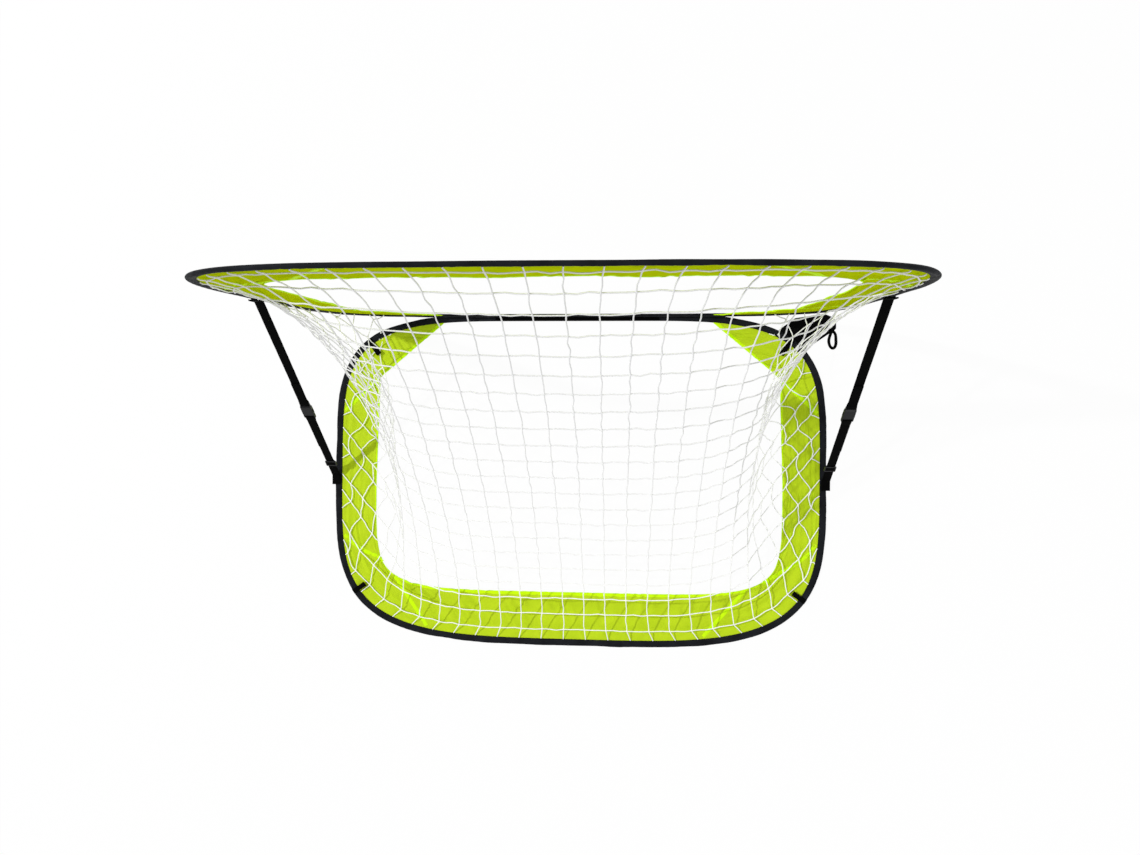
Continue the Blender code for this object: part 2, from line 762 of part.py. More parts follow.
def socket_mesh():
    """Buckle's female half, its mouth at y = 0: hollow for the prongs, with a catch window in each side."""
    half = FITTING_WIDTH / 2
    depth = PRONG_LENGTH + 0.0006
    cavity = prism(box_outline(half - SOCKET_WALL, -0.002, depth), TONGUE_THICKNESS / 2 + GAP)
    low = CATCH_WINDOW * 0.55
    window = prism(box_outline(half + 0.002, low, low + CATCH_WINDOW), TONGUE_THICKNESS / 2 + GAP - 0.0002)
    bar_slot = slot_cutter(SOCKET_LENGTH - FITTING_BAR - FITTING_SLOT)
    return carve(socket_body(), [cavity, window, bar_slot])


def loop_band(name, centre_line, width, thickness, place, material, parent=None):
    """Closed band of webbing: its centre line is a closed list of (run, height), its width lies across."""
    count = len(centre_line)
    points = [Vector(point) for point in centre_line]
    sections = []
    for index, point in enumerate(points):
        along = (points[(index + 1) % count] - points[index - 1]).normalized()
        normal = Vector((-along.y, along.x)) * (thickness / 2)
        row = []
        for across, lift in ((-width / 2, -1), (width / 2, -1), (width / 2, 1), (-width / 2, 1)):
            spot = point + normal * lift
            row.append(place(spot.x, across, spot.y))
        sections.append(row)
    verts, faces = sweep(sections, closed_path=True)
    return add_mesh(name, verts, faces, material, parent)


def eye_centre_line(root, reach, eye):
    """Centre line of a folded loop: sewn down at its root, open to an eye at its end."""
    sewn = SLEEVE_THICKNESS + GAP + LOOP_THICKNESS / 2 + 0.0001
    layer = LOOP_THICKNESS + 0.0002
    radius = eye / 2 + LOOP_THICKNESS / 2
    middle = MID_HEIGHT + radius + 0.0030
    start = SLEEVE_WIDTH + 0.0030
    last = reach - radius
    lower = [(root, sewn), (start, sewn), (start + 0.45 * (last - start), middle - 0.60 * radius),
             (last, middle - radius)]
    tip = [(last + radius * math.sin(math.pi * k / 6), middle - radius * math.cos(math.pi * k / 6))
           for k in range(1, 6)]
    upper = [(last, middle + radius), (start + 0.45 * (last - start), middle + 0.65 * radius),
             (start, sewn + layer), (root, sewn + layer)]
    return lower + tip + upper


def peg_loop(name, hoop, depth_at, reach, side, material):
    """Webbing loop for a ground peg, sewn on top of the base sleeve and pointing inward."""
    share = hoop.share_where(lambda point: point.y >= depth_at)
    point, inward = hoop.at(share)
    along = Vector((inward.y, -inward.x))

    def place(run, across, height):
        spot = point + inward * run + along * across
        return base_place(side * spot.x, spot.y, height)

    line = eye_centre_line(0.002, SLEEVE_WIDTH + reach, LOOP_EYE)
    return loop_band(name, line, LOOP_WIDTH, LOOP_THICKNESS, place, material)


def pouch_outline(hoop, steps=9):
    first = hoop.share_where(lambda point: point.y >= POUCH_FIRST_DEPTH)
    last = hoop.share_where(lambda point: point.y >= POUCH_LAST_DEPTH)
    inner = []
    for step in range(steps + 1):
        point, inward = hoop.at(first + (last - first) * step / steps)
        inner.append(point - inward * GAP)
    outer = resample([Vector(point) for point in POUCH_OUTER_EDGE], steps)
    return inner, outer


def pouch_height(across, step, last):
    """Half thickness of the pouch: full in its middle, thin at its sewn edges."""
    fill = 4 * across * (1 - across) * (1 - 0.7 * (2 * step / last - 1) ** 4)
    return (POUCH_EDGE + (POUCH_THICKNESS - POUCH_EDGE) * max(0.0, fill) ** 0.6) / 2


def peg_pouch(hoop, material):
    """Flat pouch sewn to the outside of the base sleeve at one front corner."""
    inner, outer = pouch_outline(hoop)
    last = len(inner) - 1
    floor_gap = 0.0005
    sections = []
    for step, (seam, edge) in enumerate(zip(inner, outer)):
        upper, lower = [], []
        for across in POUCH_SHARES:
            spot = seam.lerp(edge, across)
            half = pouch_height(across, step, last)
            upper.append(base_place(-spot.x, spot.y, floor_gap + 2 * half))
            lower.append(base_place(-spot.x, spot.y, floor_gap))
        sections.append(upper + lower[::-1])
    verts, faces = sweep(sections, closed_path=False)
    return add_mesh("peg_pouch", verts, faces, material)


def pouch_flap(hoop, material):
    """Flap that closes the pouch, over the outer part of its top."""
    inner, outer = pouch_outline(hoop)
    last = len(inner) - 1
    shares = [across for across in POUCH_SHARES if across >= POUCH_FLAP_START]
    sections = []
    for step, (seam, edge) in enumerate(zip(inner, outer)):
        upper, lower = [], []
        for across in shares:
            spot = seam.lerp(edge, across)
            top = 0.0005 + 2 * pouch_height(across, step, last) + 0.0010
            upper.append(base_place(-spot.x, spot.y, top + POUCH_FLAP_THICKNESS))
            lower.append(base_place(-spot.x, spot.y, top))
        sections.append(upper + lower[::-1])
    verts, faces = sweep(sections, closed_path=False)
    return add_mesh("pouch_flap", verts, faces, material)


def pull_loop(hoop, material):
    """Narrow loop for pulling the flap open, sewn on the flap's corner and hanging to the ground."""
    inner, outer = pouch_outline(hoop)
    root = outer[-1].lerp(inner[-1], 0.12)
    heading = Vector((0.08, 1.0)).normalized()
    across = Vector((heading.y, -heading.x))
    breadth = (PULL_LOOP_BREADTH - PULL_LOOP_STRIP) / 2
    length = PULL_LOOP_LENGTH - PULL_LOOP_STRIP
    sections = []
    steps = 16
    for step in range(steps):
        angle = TAU * step / steps
        share = (1 - math.cos(angle)) / 2
        swell = math.sin(angle) * breadth * (0.75 + 0.25 * math.sin(angle / 2) ** 2)
        here = root + heading * (length * share + 0.0012) + across * swell
        radial = Vector((-math.cos(angle) * breadth, math.sin(angle) * length / 2)).normalized()
        normal = heading * radial.x + across * radial.y
        fall = min(1.0, max(0.0, share - 0.12) / 0.45)
        low = 0.0006 + PULL_LOOP_RISE * (1 - fall * fall * (3 - 2 * fall))
        high = low + LOOP_THICKNESS
        row = []
        for lift, height in ((-0.5, low), (0.5, low), (0.5, high), (-0.5, high)):
            spot = here + normal * (lift * PULL_LOOP_STRIP)
            row.append(base_place(-spot.x, spot.y, height))
        sections.append(row)
    verts, faces = sweep(sections, closed_path=True)
    return add_mesh("pouch_pull_loop", verts, faces, material)


def strap_geometry(face_pivot):
    """Crease points of the lower and upper strap ends in the YZ plane, and what joins them."""
    low = base_place(0, STRAP_ANCHOR, CREASE_HEIGHT)
    high = face_pivot.matrix_basis @ face_place(0, STRAP_ANCHOR, CREASE_HEIGHT)
    run = high - low
    lift = math.atan2(run.z, -run.y)
    folded = math.pi / 2 - FACE_LEAN
    return low, run.length, lift, math.pi - folded - lift


def strap_set(side_name, side, face_pivot, meshes, cloth, webbing, plastic):
    low, length, lift, upper_lift = strap_geometry(face_pivot)
    x = side * STRAP_OFFSET
    strap_tab(f"base_strap_tab_{side_name}", base_place, side, webbing)
    strap_tab(f"face_strap_tab_{side_name}", face_place, side, webbing, face_pivot)
    lower_pivot = add_pivot(f"strap_lower_{side_name}_pivot", (x, low.y, low.z), math.pi - lift)
    anchor = face_place(x, STRAP_ANCHOR, CREASE_HEIGHT)
    upper_pivot = add_pivot(f"strap_upper_{side_name}_pivot", anchor, math.pi + upper_lift, face_pivot)
    lower_strap(f"strap_lower_{side_name}", lift, lower_pivot, webbing)
    socket_place = TONGUE_PLACE + tongue_shoulder() + GAP
    reach = length - (socket_place + SOCKET_LENGTH - FITTING_BAR / 2)
    upper_strap(f"strap_upper_{side_name}", upper_lift, reach, upper_pivot, webbing)
    slider = add_object(f"strap_slider_{side_name}", meshes["slider"], plastic, lower_pivot)
    slider.location.y = SLIDER_PLACE
    tongue = add_object(f"buckle_tongue_{side_name}", meshes["tongue"], plastic, lower_pivot)
    tongue.location.y = TONGUE_PLACE
    socket = add_object(f"buckle_socket_{side_name}", meshes["socket"], plastic, lower_pivot)
    socket.location.y = socket_place


def build_goal():
    clear_scene()
    lime = finish_material("lime_polyester", LIME, 0.55)
    sleeve_cloth = finish_material("black_sleeve_cloth", BLACK_CLOTH, 0.7)
    webbing = finish_material("black_webbing", BLACK_WEBBING, 0.75)
    plastic = finish_material("black_plastic", BLACK_PLASTIC, 0.32)
    steel = finish_material("spring_steel", SPRING_STEEL, 0.35, 1.0)
    net_white = finish_material("white_net_cord", NET_WHITE, 0.6)

    base_hoop = Hoop(BASE_CORNER_POWER)
    face_hoop = Hoop(FACE_CORNER_POWER)
    hinge = base_place(0.0, HINGE_SETBACK, HINGE_SETBACK)
    face_pivot = add_pivot("face_hinge", hinge, math.pi / 2 - FACE_LEAN)

    hoop_wire("base_wire", base_hoop, base_place, steel)
    hoop_ferrule("base_ferrule", base_hoop, base_place, steel)
    hoop_sleeve("base_sleeve", base_hoop, base_place, sleeve_cloth)
    border("base", "back", base_hoop, base_place, lime)

    hoop_wire("face_wire", face_hoop, face_place, steel, face_pivot)
    hoop_ferrule("face_ferrule", face_hoop, face_place, steel, face_pivot)
    hoop_sleeve("face_sleeve", face_hoop, face_place, sleeve_cloth, face_pivot)
    border("face", "top", face_hoop, face_place, lime, face_pivot)

    hinge_tape(webbing)
    goal_net(base_hoop, face_hoop, face_pivot, net_white)

    meshes = {"slider": slider_mesh(), "tongue": tongue_mesh(), "socket": socket_mesh()}
    for side_name, side in (("left", 1), ("right", -1)):
        strap_set(side_name, side, face_pivot, meshes, sleeve_cloth, webbing, plastic)
        peg_loop(f"peg_loop_front_{side_name}", base_hoop, FRONT_LOOP_DEPTH, FRONT_LOOP_REACH, side, webbing)
        peg_loop(f"peg_loop_back_{side_name}", base_hoop, BACK_LOOP_DEPTH, BACK_LOOP_REACH, side, webbing)
    peg_pouch(base_hoop, webbing)
    pouch_flap(base_hoop, webbing)
    pull_loop(base_hoop, webbing)


build_goal()
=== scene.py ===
"""Looks of a pop-up goal: its cloth, net, webbing and fittings, made in the frame of its solids."""
import math

import bmesh
import bpy
import numpy as np
from mathutils import Matrix, Vector


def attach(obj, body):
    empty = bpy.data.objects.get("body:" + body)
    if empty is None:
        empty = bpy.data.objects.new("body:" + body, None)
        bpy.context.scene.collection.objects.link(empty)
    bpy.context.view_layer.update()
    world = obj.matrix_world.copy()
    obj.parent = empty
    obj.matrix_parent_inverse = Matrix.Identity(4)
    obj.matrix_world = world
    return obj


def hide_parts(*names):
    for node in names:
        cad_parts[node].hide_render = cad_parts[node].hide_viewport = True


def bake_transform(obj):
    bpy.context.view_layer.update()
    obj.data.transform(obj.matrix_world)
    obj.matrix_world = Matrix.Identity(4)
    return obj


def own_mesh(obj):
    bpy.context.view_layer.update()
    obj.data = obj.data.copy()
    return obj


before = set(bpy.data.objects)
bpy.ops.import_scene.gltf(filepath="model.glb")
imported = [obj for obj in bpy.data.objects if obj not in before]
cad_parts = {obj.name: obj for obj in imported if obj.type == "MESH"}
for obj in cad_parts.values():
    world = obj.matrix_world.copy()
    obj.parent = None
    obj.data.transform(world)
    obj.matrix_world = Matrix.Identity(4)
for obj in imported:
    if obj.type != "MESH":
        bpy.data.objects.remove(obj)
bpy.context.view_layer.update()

TAU = 2 * math.pi
GAP = 0.0003

# Hoops, in metres: x runs across the goal, d back from the hinge bar and h up from the ground
HOOP_WIDTH = 1.200
HOOP_DEPTH = 0.810
HALF_WIDTH = HOOP_WIDTH / 2
HALF_DEPTH = HOOP_DEPTH / 2
HINGE_CORNER_POWER = 4.4
BASE_CORNER_POWER = 3.8
FACE_CORNER_POWER = 4.4
HINGE_STRAIGHTENING = 0.004
HINGE_SETBACK = 0.0089
FACE_LEAN = math.radians(4)
HOOP_ANGLES = 14400
HOOP_LENGTHS = 7201
SLEEVE_WIDTH = 0.016
SLEEVE_THICKNESS = 0.008
MID = SLEEVE_THICKNESS / 2
SLEEVE_STEP = 0.005
SLEEVE_SWELL = 0.00022

# Lime border, sewn from five strips round each opening
SIDE_BAND = 0.103
FAR_BAND = 0.130
OPENING_HALF = HALF_WIDTH - SIDE_BAND
OPENING_CORNER_POWER = 6.0
GUSSET_BAR_END = 0.327
GUSSET_BAR_DEPTH = 0.0185
GUSSET_CORNER = np.array((OPENING_HALF - 0.008, 0.155))
GUSSET_SEAM_DEPTH = 0.245
STRIP_TUCK = 0.012
CLOTH_HALF = 0.0004
HEM_WIDTH = 0.008
SEAM_TAPE_WIDTH = 0.0090
# By the kind of strip: cells across it, their length along it, and how sharp the base's folds are
STRIP_COLUMNS = {"gusset": 24, "side": 24, "far": 26}
STRIP_STEP = {"gusset": 0.0050, "side": 0.0050, "far": 0.0040}
BASE_SHARPNESS = {"gusset": 1.4, "side": 1.0, "far": 3.0}
FACE_SHARPNESS = 0.6
# Seams at the far strip's ends, by x at the sleeve and at the opening; the base's left one lies further out
FAR_SEAM = (0.303, 0.414)
LEFT_FAR_SEAM = (0.362, 0.452)
# Tapes that cross the side strips towards the far corners, by d at the sleeve and at the opening
CORNER_TAPE = {"left": (0.533, 0.605), "right": (0.530, 0.640)}

# Net: 23 cells from one far bar to the other and 25 across, with flaps of cells down the side walls
NET_ROWS = 23
NET_COLUMNS = 25
NET_STEPS = 3
NET_RADIUS = 0.00125
NET_SIDES = 6
NET_EDGE = 0.0166
NET_HEIGHT = 0.0064
FACE_NET_HEIGHT = 0.0084
CLOTH_NET_HEIGHT = 0.0074
GROUND_NET_HEIGHT = 0.0020
NET_PITCH = {"face": 0.0556, "base": 0.0546}
NET_CELL = 0.0500
NET_TOP_CELL = 0.0490
NET_BACK_CELL = 0.0495
NET_SIDE_CELL = 0.0530
NET_FLAP_CELL = 0.0460
NET_TOP_GAP = 0.012
NET_BACK_GAP = 0.029
# By the row's number from the nearer far bar: columns gained, its end round the hoop, its last cord
NET_FLAP = (1, 1, 2, 2, 3, 3, 4, 4, 5, 5, 6)
NET_ROW_ENDS = (0.039, 0.090, 0.166, 0.205, 0.281, 0.322, 0.393, 0.432, 0.508, 0.547, 0.623)
NET_ROW_GAPS = (0.037, 0.038, 0.037, 0.033, 0.031, 0.029, 0.034, 0.031, 0.034, 0.031, 0.034)
# By the side column's number: its end round the hoop and its last cord
NET_COLUMN_ENDS = (0.120, 0.245, 0.353, 0.470, 0.587)
NET_COLUMN_GAPS = (0.028, 0.022, 0.022, 0.022, 0.022)
# How the net is let down: moments, passes over the cords in each, speed kept, a hundredth of gravity's fall
NET_SEED = 5
HANG_MOMENTS = 900
HANG_PASSES = 8
SPEED_KEPT = 0.985
FALL = np.array((0.0, 0.0, -9.81)) / 120 ** 2 * 0.01
UNEVEN_CORD = 0.01
CORD_BEND = 0.0011
KNOT_SIZE = (0.0030, 0.0021, 0.0019)

# Straps, by places along them from their sewn ends
STRAP_ANCHOR = 0.400
STRAP_OFFSET = 0.597
CREASE_HEIGHT = 0.0105
STRAP_WIDTH = 0.020
STRAP_THICKNESS = 0.0014
STRAP_LAP = 0.0225
TAB_HALF = 0.0006
SLIDER_PLACE = 0.046
TAIL_END = 0.112
TONGUE_PLACE = 0.212
TONGUE_LENGTH = 0.0124
SOCKET_LENGTH = 0.030
UPPER_TAIL = 0.064
TAIL_GAP = 0.0005
HEM_FOLD = 0.0075
FOLDED_THICKNESS = 0.0026
FITTING_BAR = 0.0032
FITTING_SLOT = 0.0038
HALF_SLIDER = 0.0015
HALF_TONGUE = 0.0022

# Loops, pouch and hinge tape on the sleeves
LOOP_WIDTH = 0.012
LOOP_THICKNESS = 0.001
LOOP_EYE = 0.0065
PEG_LOOPS = (("front", 0.060, 0.032), ("back", 0.690, 0.022))
POUCH_DEPTHS = (0.040, 0.085)
POUCH_OUTER_EDGE = ((0.5250, 0.0110), (0.5950, 0.0010), (0.6200, 0.0130), (0.6195, 0.0360))
POUCH_STEPS = 44
POUCH_THICKNESS = 0.008
POUCH_EDGE = 0.003
POUCH_BASE = 0.0005
POUCH_FLAP_START = 0.40
PULL_LOOP_LENGTH = 0.046
PULL_LOOP_BREADTH = 0.026
PULL_LOOP_STRIP = 0.007
PULL_LOOP_RISE = 0.0076
HINGE_TAPE_LEG = 0.007
HINGE_TAPE_LENGTH = 0.400
HINGE_TAPE_HALF = 0.00028

# Woven cloths: colour, lighter and darker thread, pitch, roughness, relief of threads and creases, gloss
WOVEN = {
    "lime_cloth": ((0.505, 0.680, 0.012), (0.545, 0.725, 0.014), (0.460, 0.630, 0.009),
                   0.0009, 0.62, 0.00008, 0.0008, 0.10),
    # The face hoop's copy is darker and yellower than the ground's: painted shade on the upright cloth,
    # which is turned from the light
    "lime_cloth_upright": ((0.500, 0.610, 0.002), (0.540, 0.650, 0.003), (0.455, 0.560, 0.002),
                           0.0009, 0.70, 0.00008, 0.0006, 0.0),
    "lime_binding": ((0.600, 0.960, 0.002), (0.640, 0.990, 0.003), (0.560, 0.920, 0.002),
                     0.0012, 0.58, 0.00010, 0.0003, 0.08),
    "sleeve_cloth": ((0.0120, 0.0130, 0.0160), (0.018, 0.0200, 0.0250), (0.007, 0.0075, 0.0090),
                     0.0010, 0.55, 0.00012, 0.0006, 0.03),
    "pouch_cloth": ((0.0015, 0.0015, 0.0018), (0.003, 0.003, 0.0035), (0.0008, 0.0008, 0.001),
                    0.0010, 0.70, 0.00012, 0.0008, 0.03),
}
# Slots of the looks that don't have a slot of their own name
SLOTS = {"lime_cloth_upright": "lime_cloth", "lime_binding": "lime_cloth", "pouch_cloth": "webbing"}
# Looks of the solids that show as they are, by a word in their names
SOLID_LOOKS = {"wire": "spring_steel", "ferrule": "spring_steel", "slider": "black_plastic",
               "tongue": "black_plastic", "socket": "black_plastic"}

FACE_TURN = Matrix.Translation((0.0, HINGE_SETBACK - HALF_DEPTH, HINGE_SETBACK)) @ Matrix.Rotation(
    math.pi / 2 - FACE_LEAN, 4, "X")
FACE_ROTATION = np.array(FACE_TURN.to_3x3())
FACE_ORIGIN = np.array(FACE_TURN.translation)


# Shapes in numbers

def spread(*values):
    """Values as the coordinates of points, each spread over the others' grid."""
    return np.stack(np.broadcast_arrays(*values), -1).astype(float)


def base_place(x, d, h):
    """Points of the base hoop in the goal's frame."""
    return spread(x, d - HALF_DEPTH, h)


def face_place(x, d, h):
    """The same for the face hoop, h measured from its front towards the net."""
    return spread(x, d, HINGE_SETBACK - h) @ FACE_ROTATION.T + FACE_ORIGIN


def unit(vectors):
    return vectors / np.maximum(np.linalg.norm(vectors, axis=-1, keepdims=True), 1e-12)


def smooth(value):
    value = np.clip(value, 0.0, 1.0)
    return value * value * (3 - 2 * value)


def ripples(a, b, seed, shortest, longest, count=9, fan=math.pi):
    """Soft, even noise of about unit height over two lengths in metres."""
    random = np.random.default_rng(seed)
    total = 0.0
    for _ in range(count):
        length = shortest * (longest / shortest) ** random.random()
        angle = fan * (random.random() - 0.5)
        phase = TAU * random.random()
        total = total + np.cos(TAU * (a * math.cos(angle) + b * math.sin(angle)) / length + phase)
    return total / math.sqrt(count / 2)


def arc(points):
    """Length reached at each point of a line."""
    return np.concatenate([[0.0], np.cumsum(np.linalg.norm(np.diff(points, axis=0), axis=1))])


def read_along(s, reach, points):
    """Points at lengths s of a line whose points lie at the lengths in reach."""
    return np.stack([np.interp(s, reach, points[:, k]) for k in range(points.shape[1])], -1)


def resample(points, count):
    reach = arc(points)
    return read_along(np.linspace(0.0, reach[-1], count + 1), reach, points)


def catmull(points, per_span=3):
    """Smooth line through the points, with so many steps in each span."""
    points = np.asarray(points, float)
    before = np.concatenate([[2 * points[0] - points[1]], points, [2 * points[-1] - points[-2]]])
    t = (np.arange(per_span) / per_span)[:, None]
    result = []
    for a, b, c, d in zip(before, before[1:], before[2:], before[3:]):
        result.append(0.5 * (2 * b + (c - a) * t + (2 * a - 5 * b + 4 * c - d) * t ** 2
                             + (3 * b - a - 3 * c + d) * t ** 3))
    result.append(points[-1:])
    return np.concatenate(result)


def line_normals(line):
    """Unit normals of a line in its plane."""
    along = unit(np.gradient(line, axis=0))
    return np.stack([-along[:, 1], along[:, 0]], -1)


def surface_normals(grid):
    return unit(np.cross(np.gradient(grid, axis=0), np.gradient(grid, axis=1)))


def superellipse(angle, power):
    """Cosine and sine of the angle, drawn out towards the corners of a square."""
    cosine, sine = np.cos(angle), np.sin(angle)
    return np.sign(cosine) * np.abs(cosine) ** (2 / power), np.sign(sine) * np.abs(sine) ** (2 / power)


class Hoop:
    """Outer edge of one hoop in plan by its length, from the middle of the hinge bar round by +X."""

    def __init__(self, far_power):
        angle = TAU * np.arange(HOOP_ANGLES + 1) / HOOP_ANGLES - math.pi / 2
        across, along = superellipse(angle, np.where(np.sin(angle) < 0, HINGE_CORNER_POWER, far_power))
        d = HALF_DEPTH * (1 + along)
        d = d * d * (HOOP_DEPTH + HINGE_STRAIGHTENING) / (HOOP_DEPTH * (d + HINGE_STRAIGHTENING))
        points = np.stack([HALF_WIDTH * across, d], -1)
        reach = arc(points)
        self.length = reach[-1]
        self.reach = np.linspace(0.0, self.length, HOOP_LENGTHS)
        self.points = read_along(self.reach, reach, points)
        along = unit(np.roll(self.points[:-1], -4, 0) - np.roll(self.points[:-1], 4, 0))
        along = np.concatenate([along, along[:1]])
        self.inward = np.stack([-along[:, 1], along[:, 0]], -1)

    def at(self, s):
        """Points and inward normals at lengths s."""
        s = np.mod(np.asarray(s, float), self.length)
        return read_along(s, self.reach, self.points), unit(read_along(s, self.reach, self.inward))

    def where(self, passed):
        """First length on the +X half where the test of x and d holds."""
        half = self.points[: len(self.points) // 2]
        return self.reach[int(np.argmax(passed(half[:, 0], half[:, 1])))]


BASE_HOOP = Hoop(BASE_CORNER_POWER)
HOOPS = {"base": (BASE_HOOP, base_place), "face": (Hoop(FACE_CORNER_POWER), face_place)}
SIDES = (("left", 1), ("right", -1))


# Solids and pieces

def grid_faces(rows, columns, start=0, close_rows=False, close_columns=False):
    r = np.arange(rows if close_rows else rows - 1)
    c = np.arange(columns if close_columns else columns - 1)
    r, c = [grid.ravel() for grid in np.meshgrid(r, c, indexing="ij")]
    r2, c2 = (r + 1) % rows, (c + 1) % columns
    return start + np.stack([r * columns + c, r * columns + c2, r2 * columns + c2, r2 * columns + c], -1)


def slab(top, bottom):
    """Closed thin solid between two grids of points of the same size."""
    rows, columns = top.shape[:2]
    count = rows * columns
    verts = np.concatenate([top.reshape(-1, 3), bottom.reshape(-1, 3)])
    faces = [grid_faces(rows, columns), grid_faces(rows, columns, count)[:, ::-1]]
    index = np.arange(count).reshape(rows, columns)
    rim = np.concatenate([index[0, :-1], index[:-1, -1], index[-1, :0:-1], index[:0:-1, 0]])
    after = np.roll(rim, -1)
    faces.append(np.stack([rim, after, after + count, rim + count], -1))
    return verts, np.concatenate(faces)


def bar(line, side, normal, section):
    """Closed bar along a line, its cross-section measured along side and normal, capped at both ends."""
    rows, count = len(line), len(section)
    grid = line[:, None] + side[:, None] * section[:, 0:1] + normal[:, None] * section[:, 1:2]
    faces = [tuple(face) for face in grid_faces(rows, count, close_columns=True)]
    faces.append(tuple(range(count)))
    faces.append(tuple((rows - 1) * count + k for k in reversed(range(count))))
    return grid.reshape(-1, 3), faces


def tube(points, radius, sides):
    """Closed round bar along a line of points."""
    tangent = unit(np.gradient(points, axis=0))
    normals = [unit(np.cross(tangent[0], (0.31, 0.17, 0.93)))]
    for heading in tangent[1:]:
        normals.append(unit(normals[-1] - heading * normals[-1].dot(heading)))
    turn = TAU * np.arange(sides) / sides
    section = radius * np.stack([np.cos(turn), np.sin(turn)], -1)
    return bar(points, np.array(normals), np.cross(tangent, normals), section)


def join(parts):
    """One list of verts and faces from several."""
    verts, faces, start = [], [], 0
    for points, polygons in parts:
        verts.append(points)
        faces += [tuple(int(i) + start for i in polygon) for polygon in polygons]
        start += len(points)
    return np.concatenate(verts), faces


def cloth_coords(along, across, layers=1):
    """Lengths along and across the cloth for each point of a grid, once for each of its layers."""
    return np.concatenate([spread(along, across).reshape(-1, 2)] * layers)


def between(first, last, share):
    """Grid of points from one line to another, at shares of the way."""
    share = share[None, :, None]
    return first[:, None] * (1 - share) + last[:, None] * share


def add_object(name, data):
    thing = bpy.data.objects.new(name, data)
    bpy.context.scene.collection.objects.link(thing)
    return thing


def build_piece(name, solid, material, coords=None, angle=40):
    """An object from verts and faces; coords are its cloth coordinates, in metres."""
    verts, faces = solid
    mesh = bpy.data.meshes.new(name)
    mesh.from_pydata([tuple(v) for v in np.asarray(verts, float)], [],
                     [tuple(int(i) for i in face) for face in faces])
    shape = bmesh.new()
    shape.from_mesh(mesh)
    bmesh.ops.recalc_face_normals(shape, faces=shape.faces)
    shape.to_mesh(mesh)
    shape.free()
    if coords is not None:
        flat = np.zeros((len(verts), 3), np.float32)
        flat[:, : coords.shape[1]] = coords
        mesh.attributes.new("cloth", "FLOAT_VECTOR", "POINT").data.foreach_set("vector", flat.ravel())
    mesh.materials.append(material)
    mesh.shade_smooth()
    mesh.set_sharp_from_angle(angle=math.radians(angle))
    return add_object(name, mesh)


def add_piece(name, solid, look, coords, body, *nodes, angle=50):
    """A piece with its look, riding on a body, unless it has none, in place of the nodes."""
    piece = build_piece(name, solid, LOOKS[look], coords, angle)
    if body:
        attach(piece, body)
    SLOTS.get(look, look)
    if nodes:
        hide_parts(*nodes)
    return piece


# Materials

class Nodes:
    """The shading nodes of a material or a world."""

    def __init__(self, owner):
        owner.use_nodes = True
        self.tree = owner.node_tree

    def add(self, kind, inputs=None, **settings):
        node = self.tree.nodes.new("ShaderNode" + kind)
        for name, value in settings.items():
            setattr(node, name, value)
        for name, value in (inputs or {}).items():
            self.put(node.inputs[name], value)
        return node

    def put(self, socket, value):
        if isinstance(value, bpy.types.NodeSocket):
            self.tree.links.new(value, socket)
        else:
            socket.default_value = value

    def math(self, operation, a, b=0.0):
        return self.add("Math", {0: a, 1: b}, operation=operation).outputs[0]

    def ramp(self, value, low, high, start=0.0, end=1.0):
        return self.add("MapRange", {"Value": value, "From Min": low, "From Max": high,
                                               "To Min": start, "To Max": end}).outputs["Result"]


class Finish(Nodes):
    """A material being put together from nodes."""

    def __init__(self, name, colour, roughness, metallic=0.0, gloss=0.5):
        self.material = bpy.data.materials.new(name)
        super().__init__(self.material)
        self.material.diffuse_color = (*colour, 1.0)
        self.shader = self.tree.nodes["Principled BSDF"]
        values = {"Base Color": (*colour, 1.0), "Roughness": roughness, "Metallic": metallic,
                  "Specular IOR Level": gloss}
        for socket, value in values.items():
            self.set(socket, value)

    def set(self, socket, value):
        self.put(self.shader.inputs[socket], value)

    def cloth(self):
        return self.add("Attribute", attribute_name="cloth").outputs["Vector"]

    def place(self):
        return self.add("TexCoord").outputs["Object"]

    def wave(self, vector, axis, period):
        """A sine of the given period in metres along one axis, 0 to 1."""
        return self.add("TexWave", {"Vector": vector, "Scale": TAU / 20 / period},
                        wave_type="BANDS", bands_direction=axis, wave_profile="SIN").outputs["Fac"]

    def noise(self, vector, scale, detail=2.0, roughness=0.5):
        return self.add("TexNoise", {"Vector": vector, "Scale": scale, "Detail": detail,
                                               "Roughness": roughness}).outputs["Fac"]

    def mix(self, share, first, second):
        node = self.add("Mix", data_type="RGBA")
        for socket, value in zip((0, 6, 7), (share, first, second)):
            self.put(node.inputs[socket], (*value, 1.0) if isinstance(value, tuple) else value)
        return node.outputs[2]

    def uneven(self, vector, scale, detail, low, high):
        self.set("Roughness", self.ramp(self.noise(vector, scale, detail), 0.3, 0.7, low, high))

    def bump(self, height, distance, strength, after=None):
        node = self.add("Bump", {"Height": height, "Distance": distance, "Strength": strength})
        if after is not None:
            self.put(node.inputs["Normal"], after)
        return node.outputs["Normal"]

    def relief(self, *bump):
        """Puts the bump on the shader and returns the finished material."""
        self.set("Normal", self.bump(*bump))
        return self.material


def make_woven(name):
    """Plain-woven cloth: crossing threads, uneven dye and small creases."""
    colour, light, dark, pitch, roughness, thread, crease, gloss = WOVEN[name]
    f = Finish(name, colour, roughness, gloss=gloss)
    at = f.cloth()
    weave = f.math("MULTIPLY", f.wave(at, "X", pitch), f.wave(at, "Y", pitch))
    blotch = f.ramp(f.noise(at, 26, 3.0), 0.3, 0.7)
    f.set("Base Color", f.mix(blotch, dark, f.mix(f.ramp(weave, 0.0, 0.5), colour, light)))
    f.uneven(at, 60, 2.0, roughness - 0.08, roughness + 0.08)
    return f.relief(weave, thread, 0.7, f.bump(f.noise(at, 90, 4.0, 0.6), crease, 0.6))


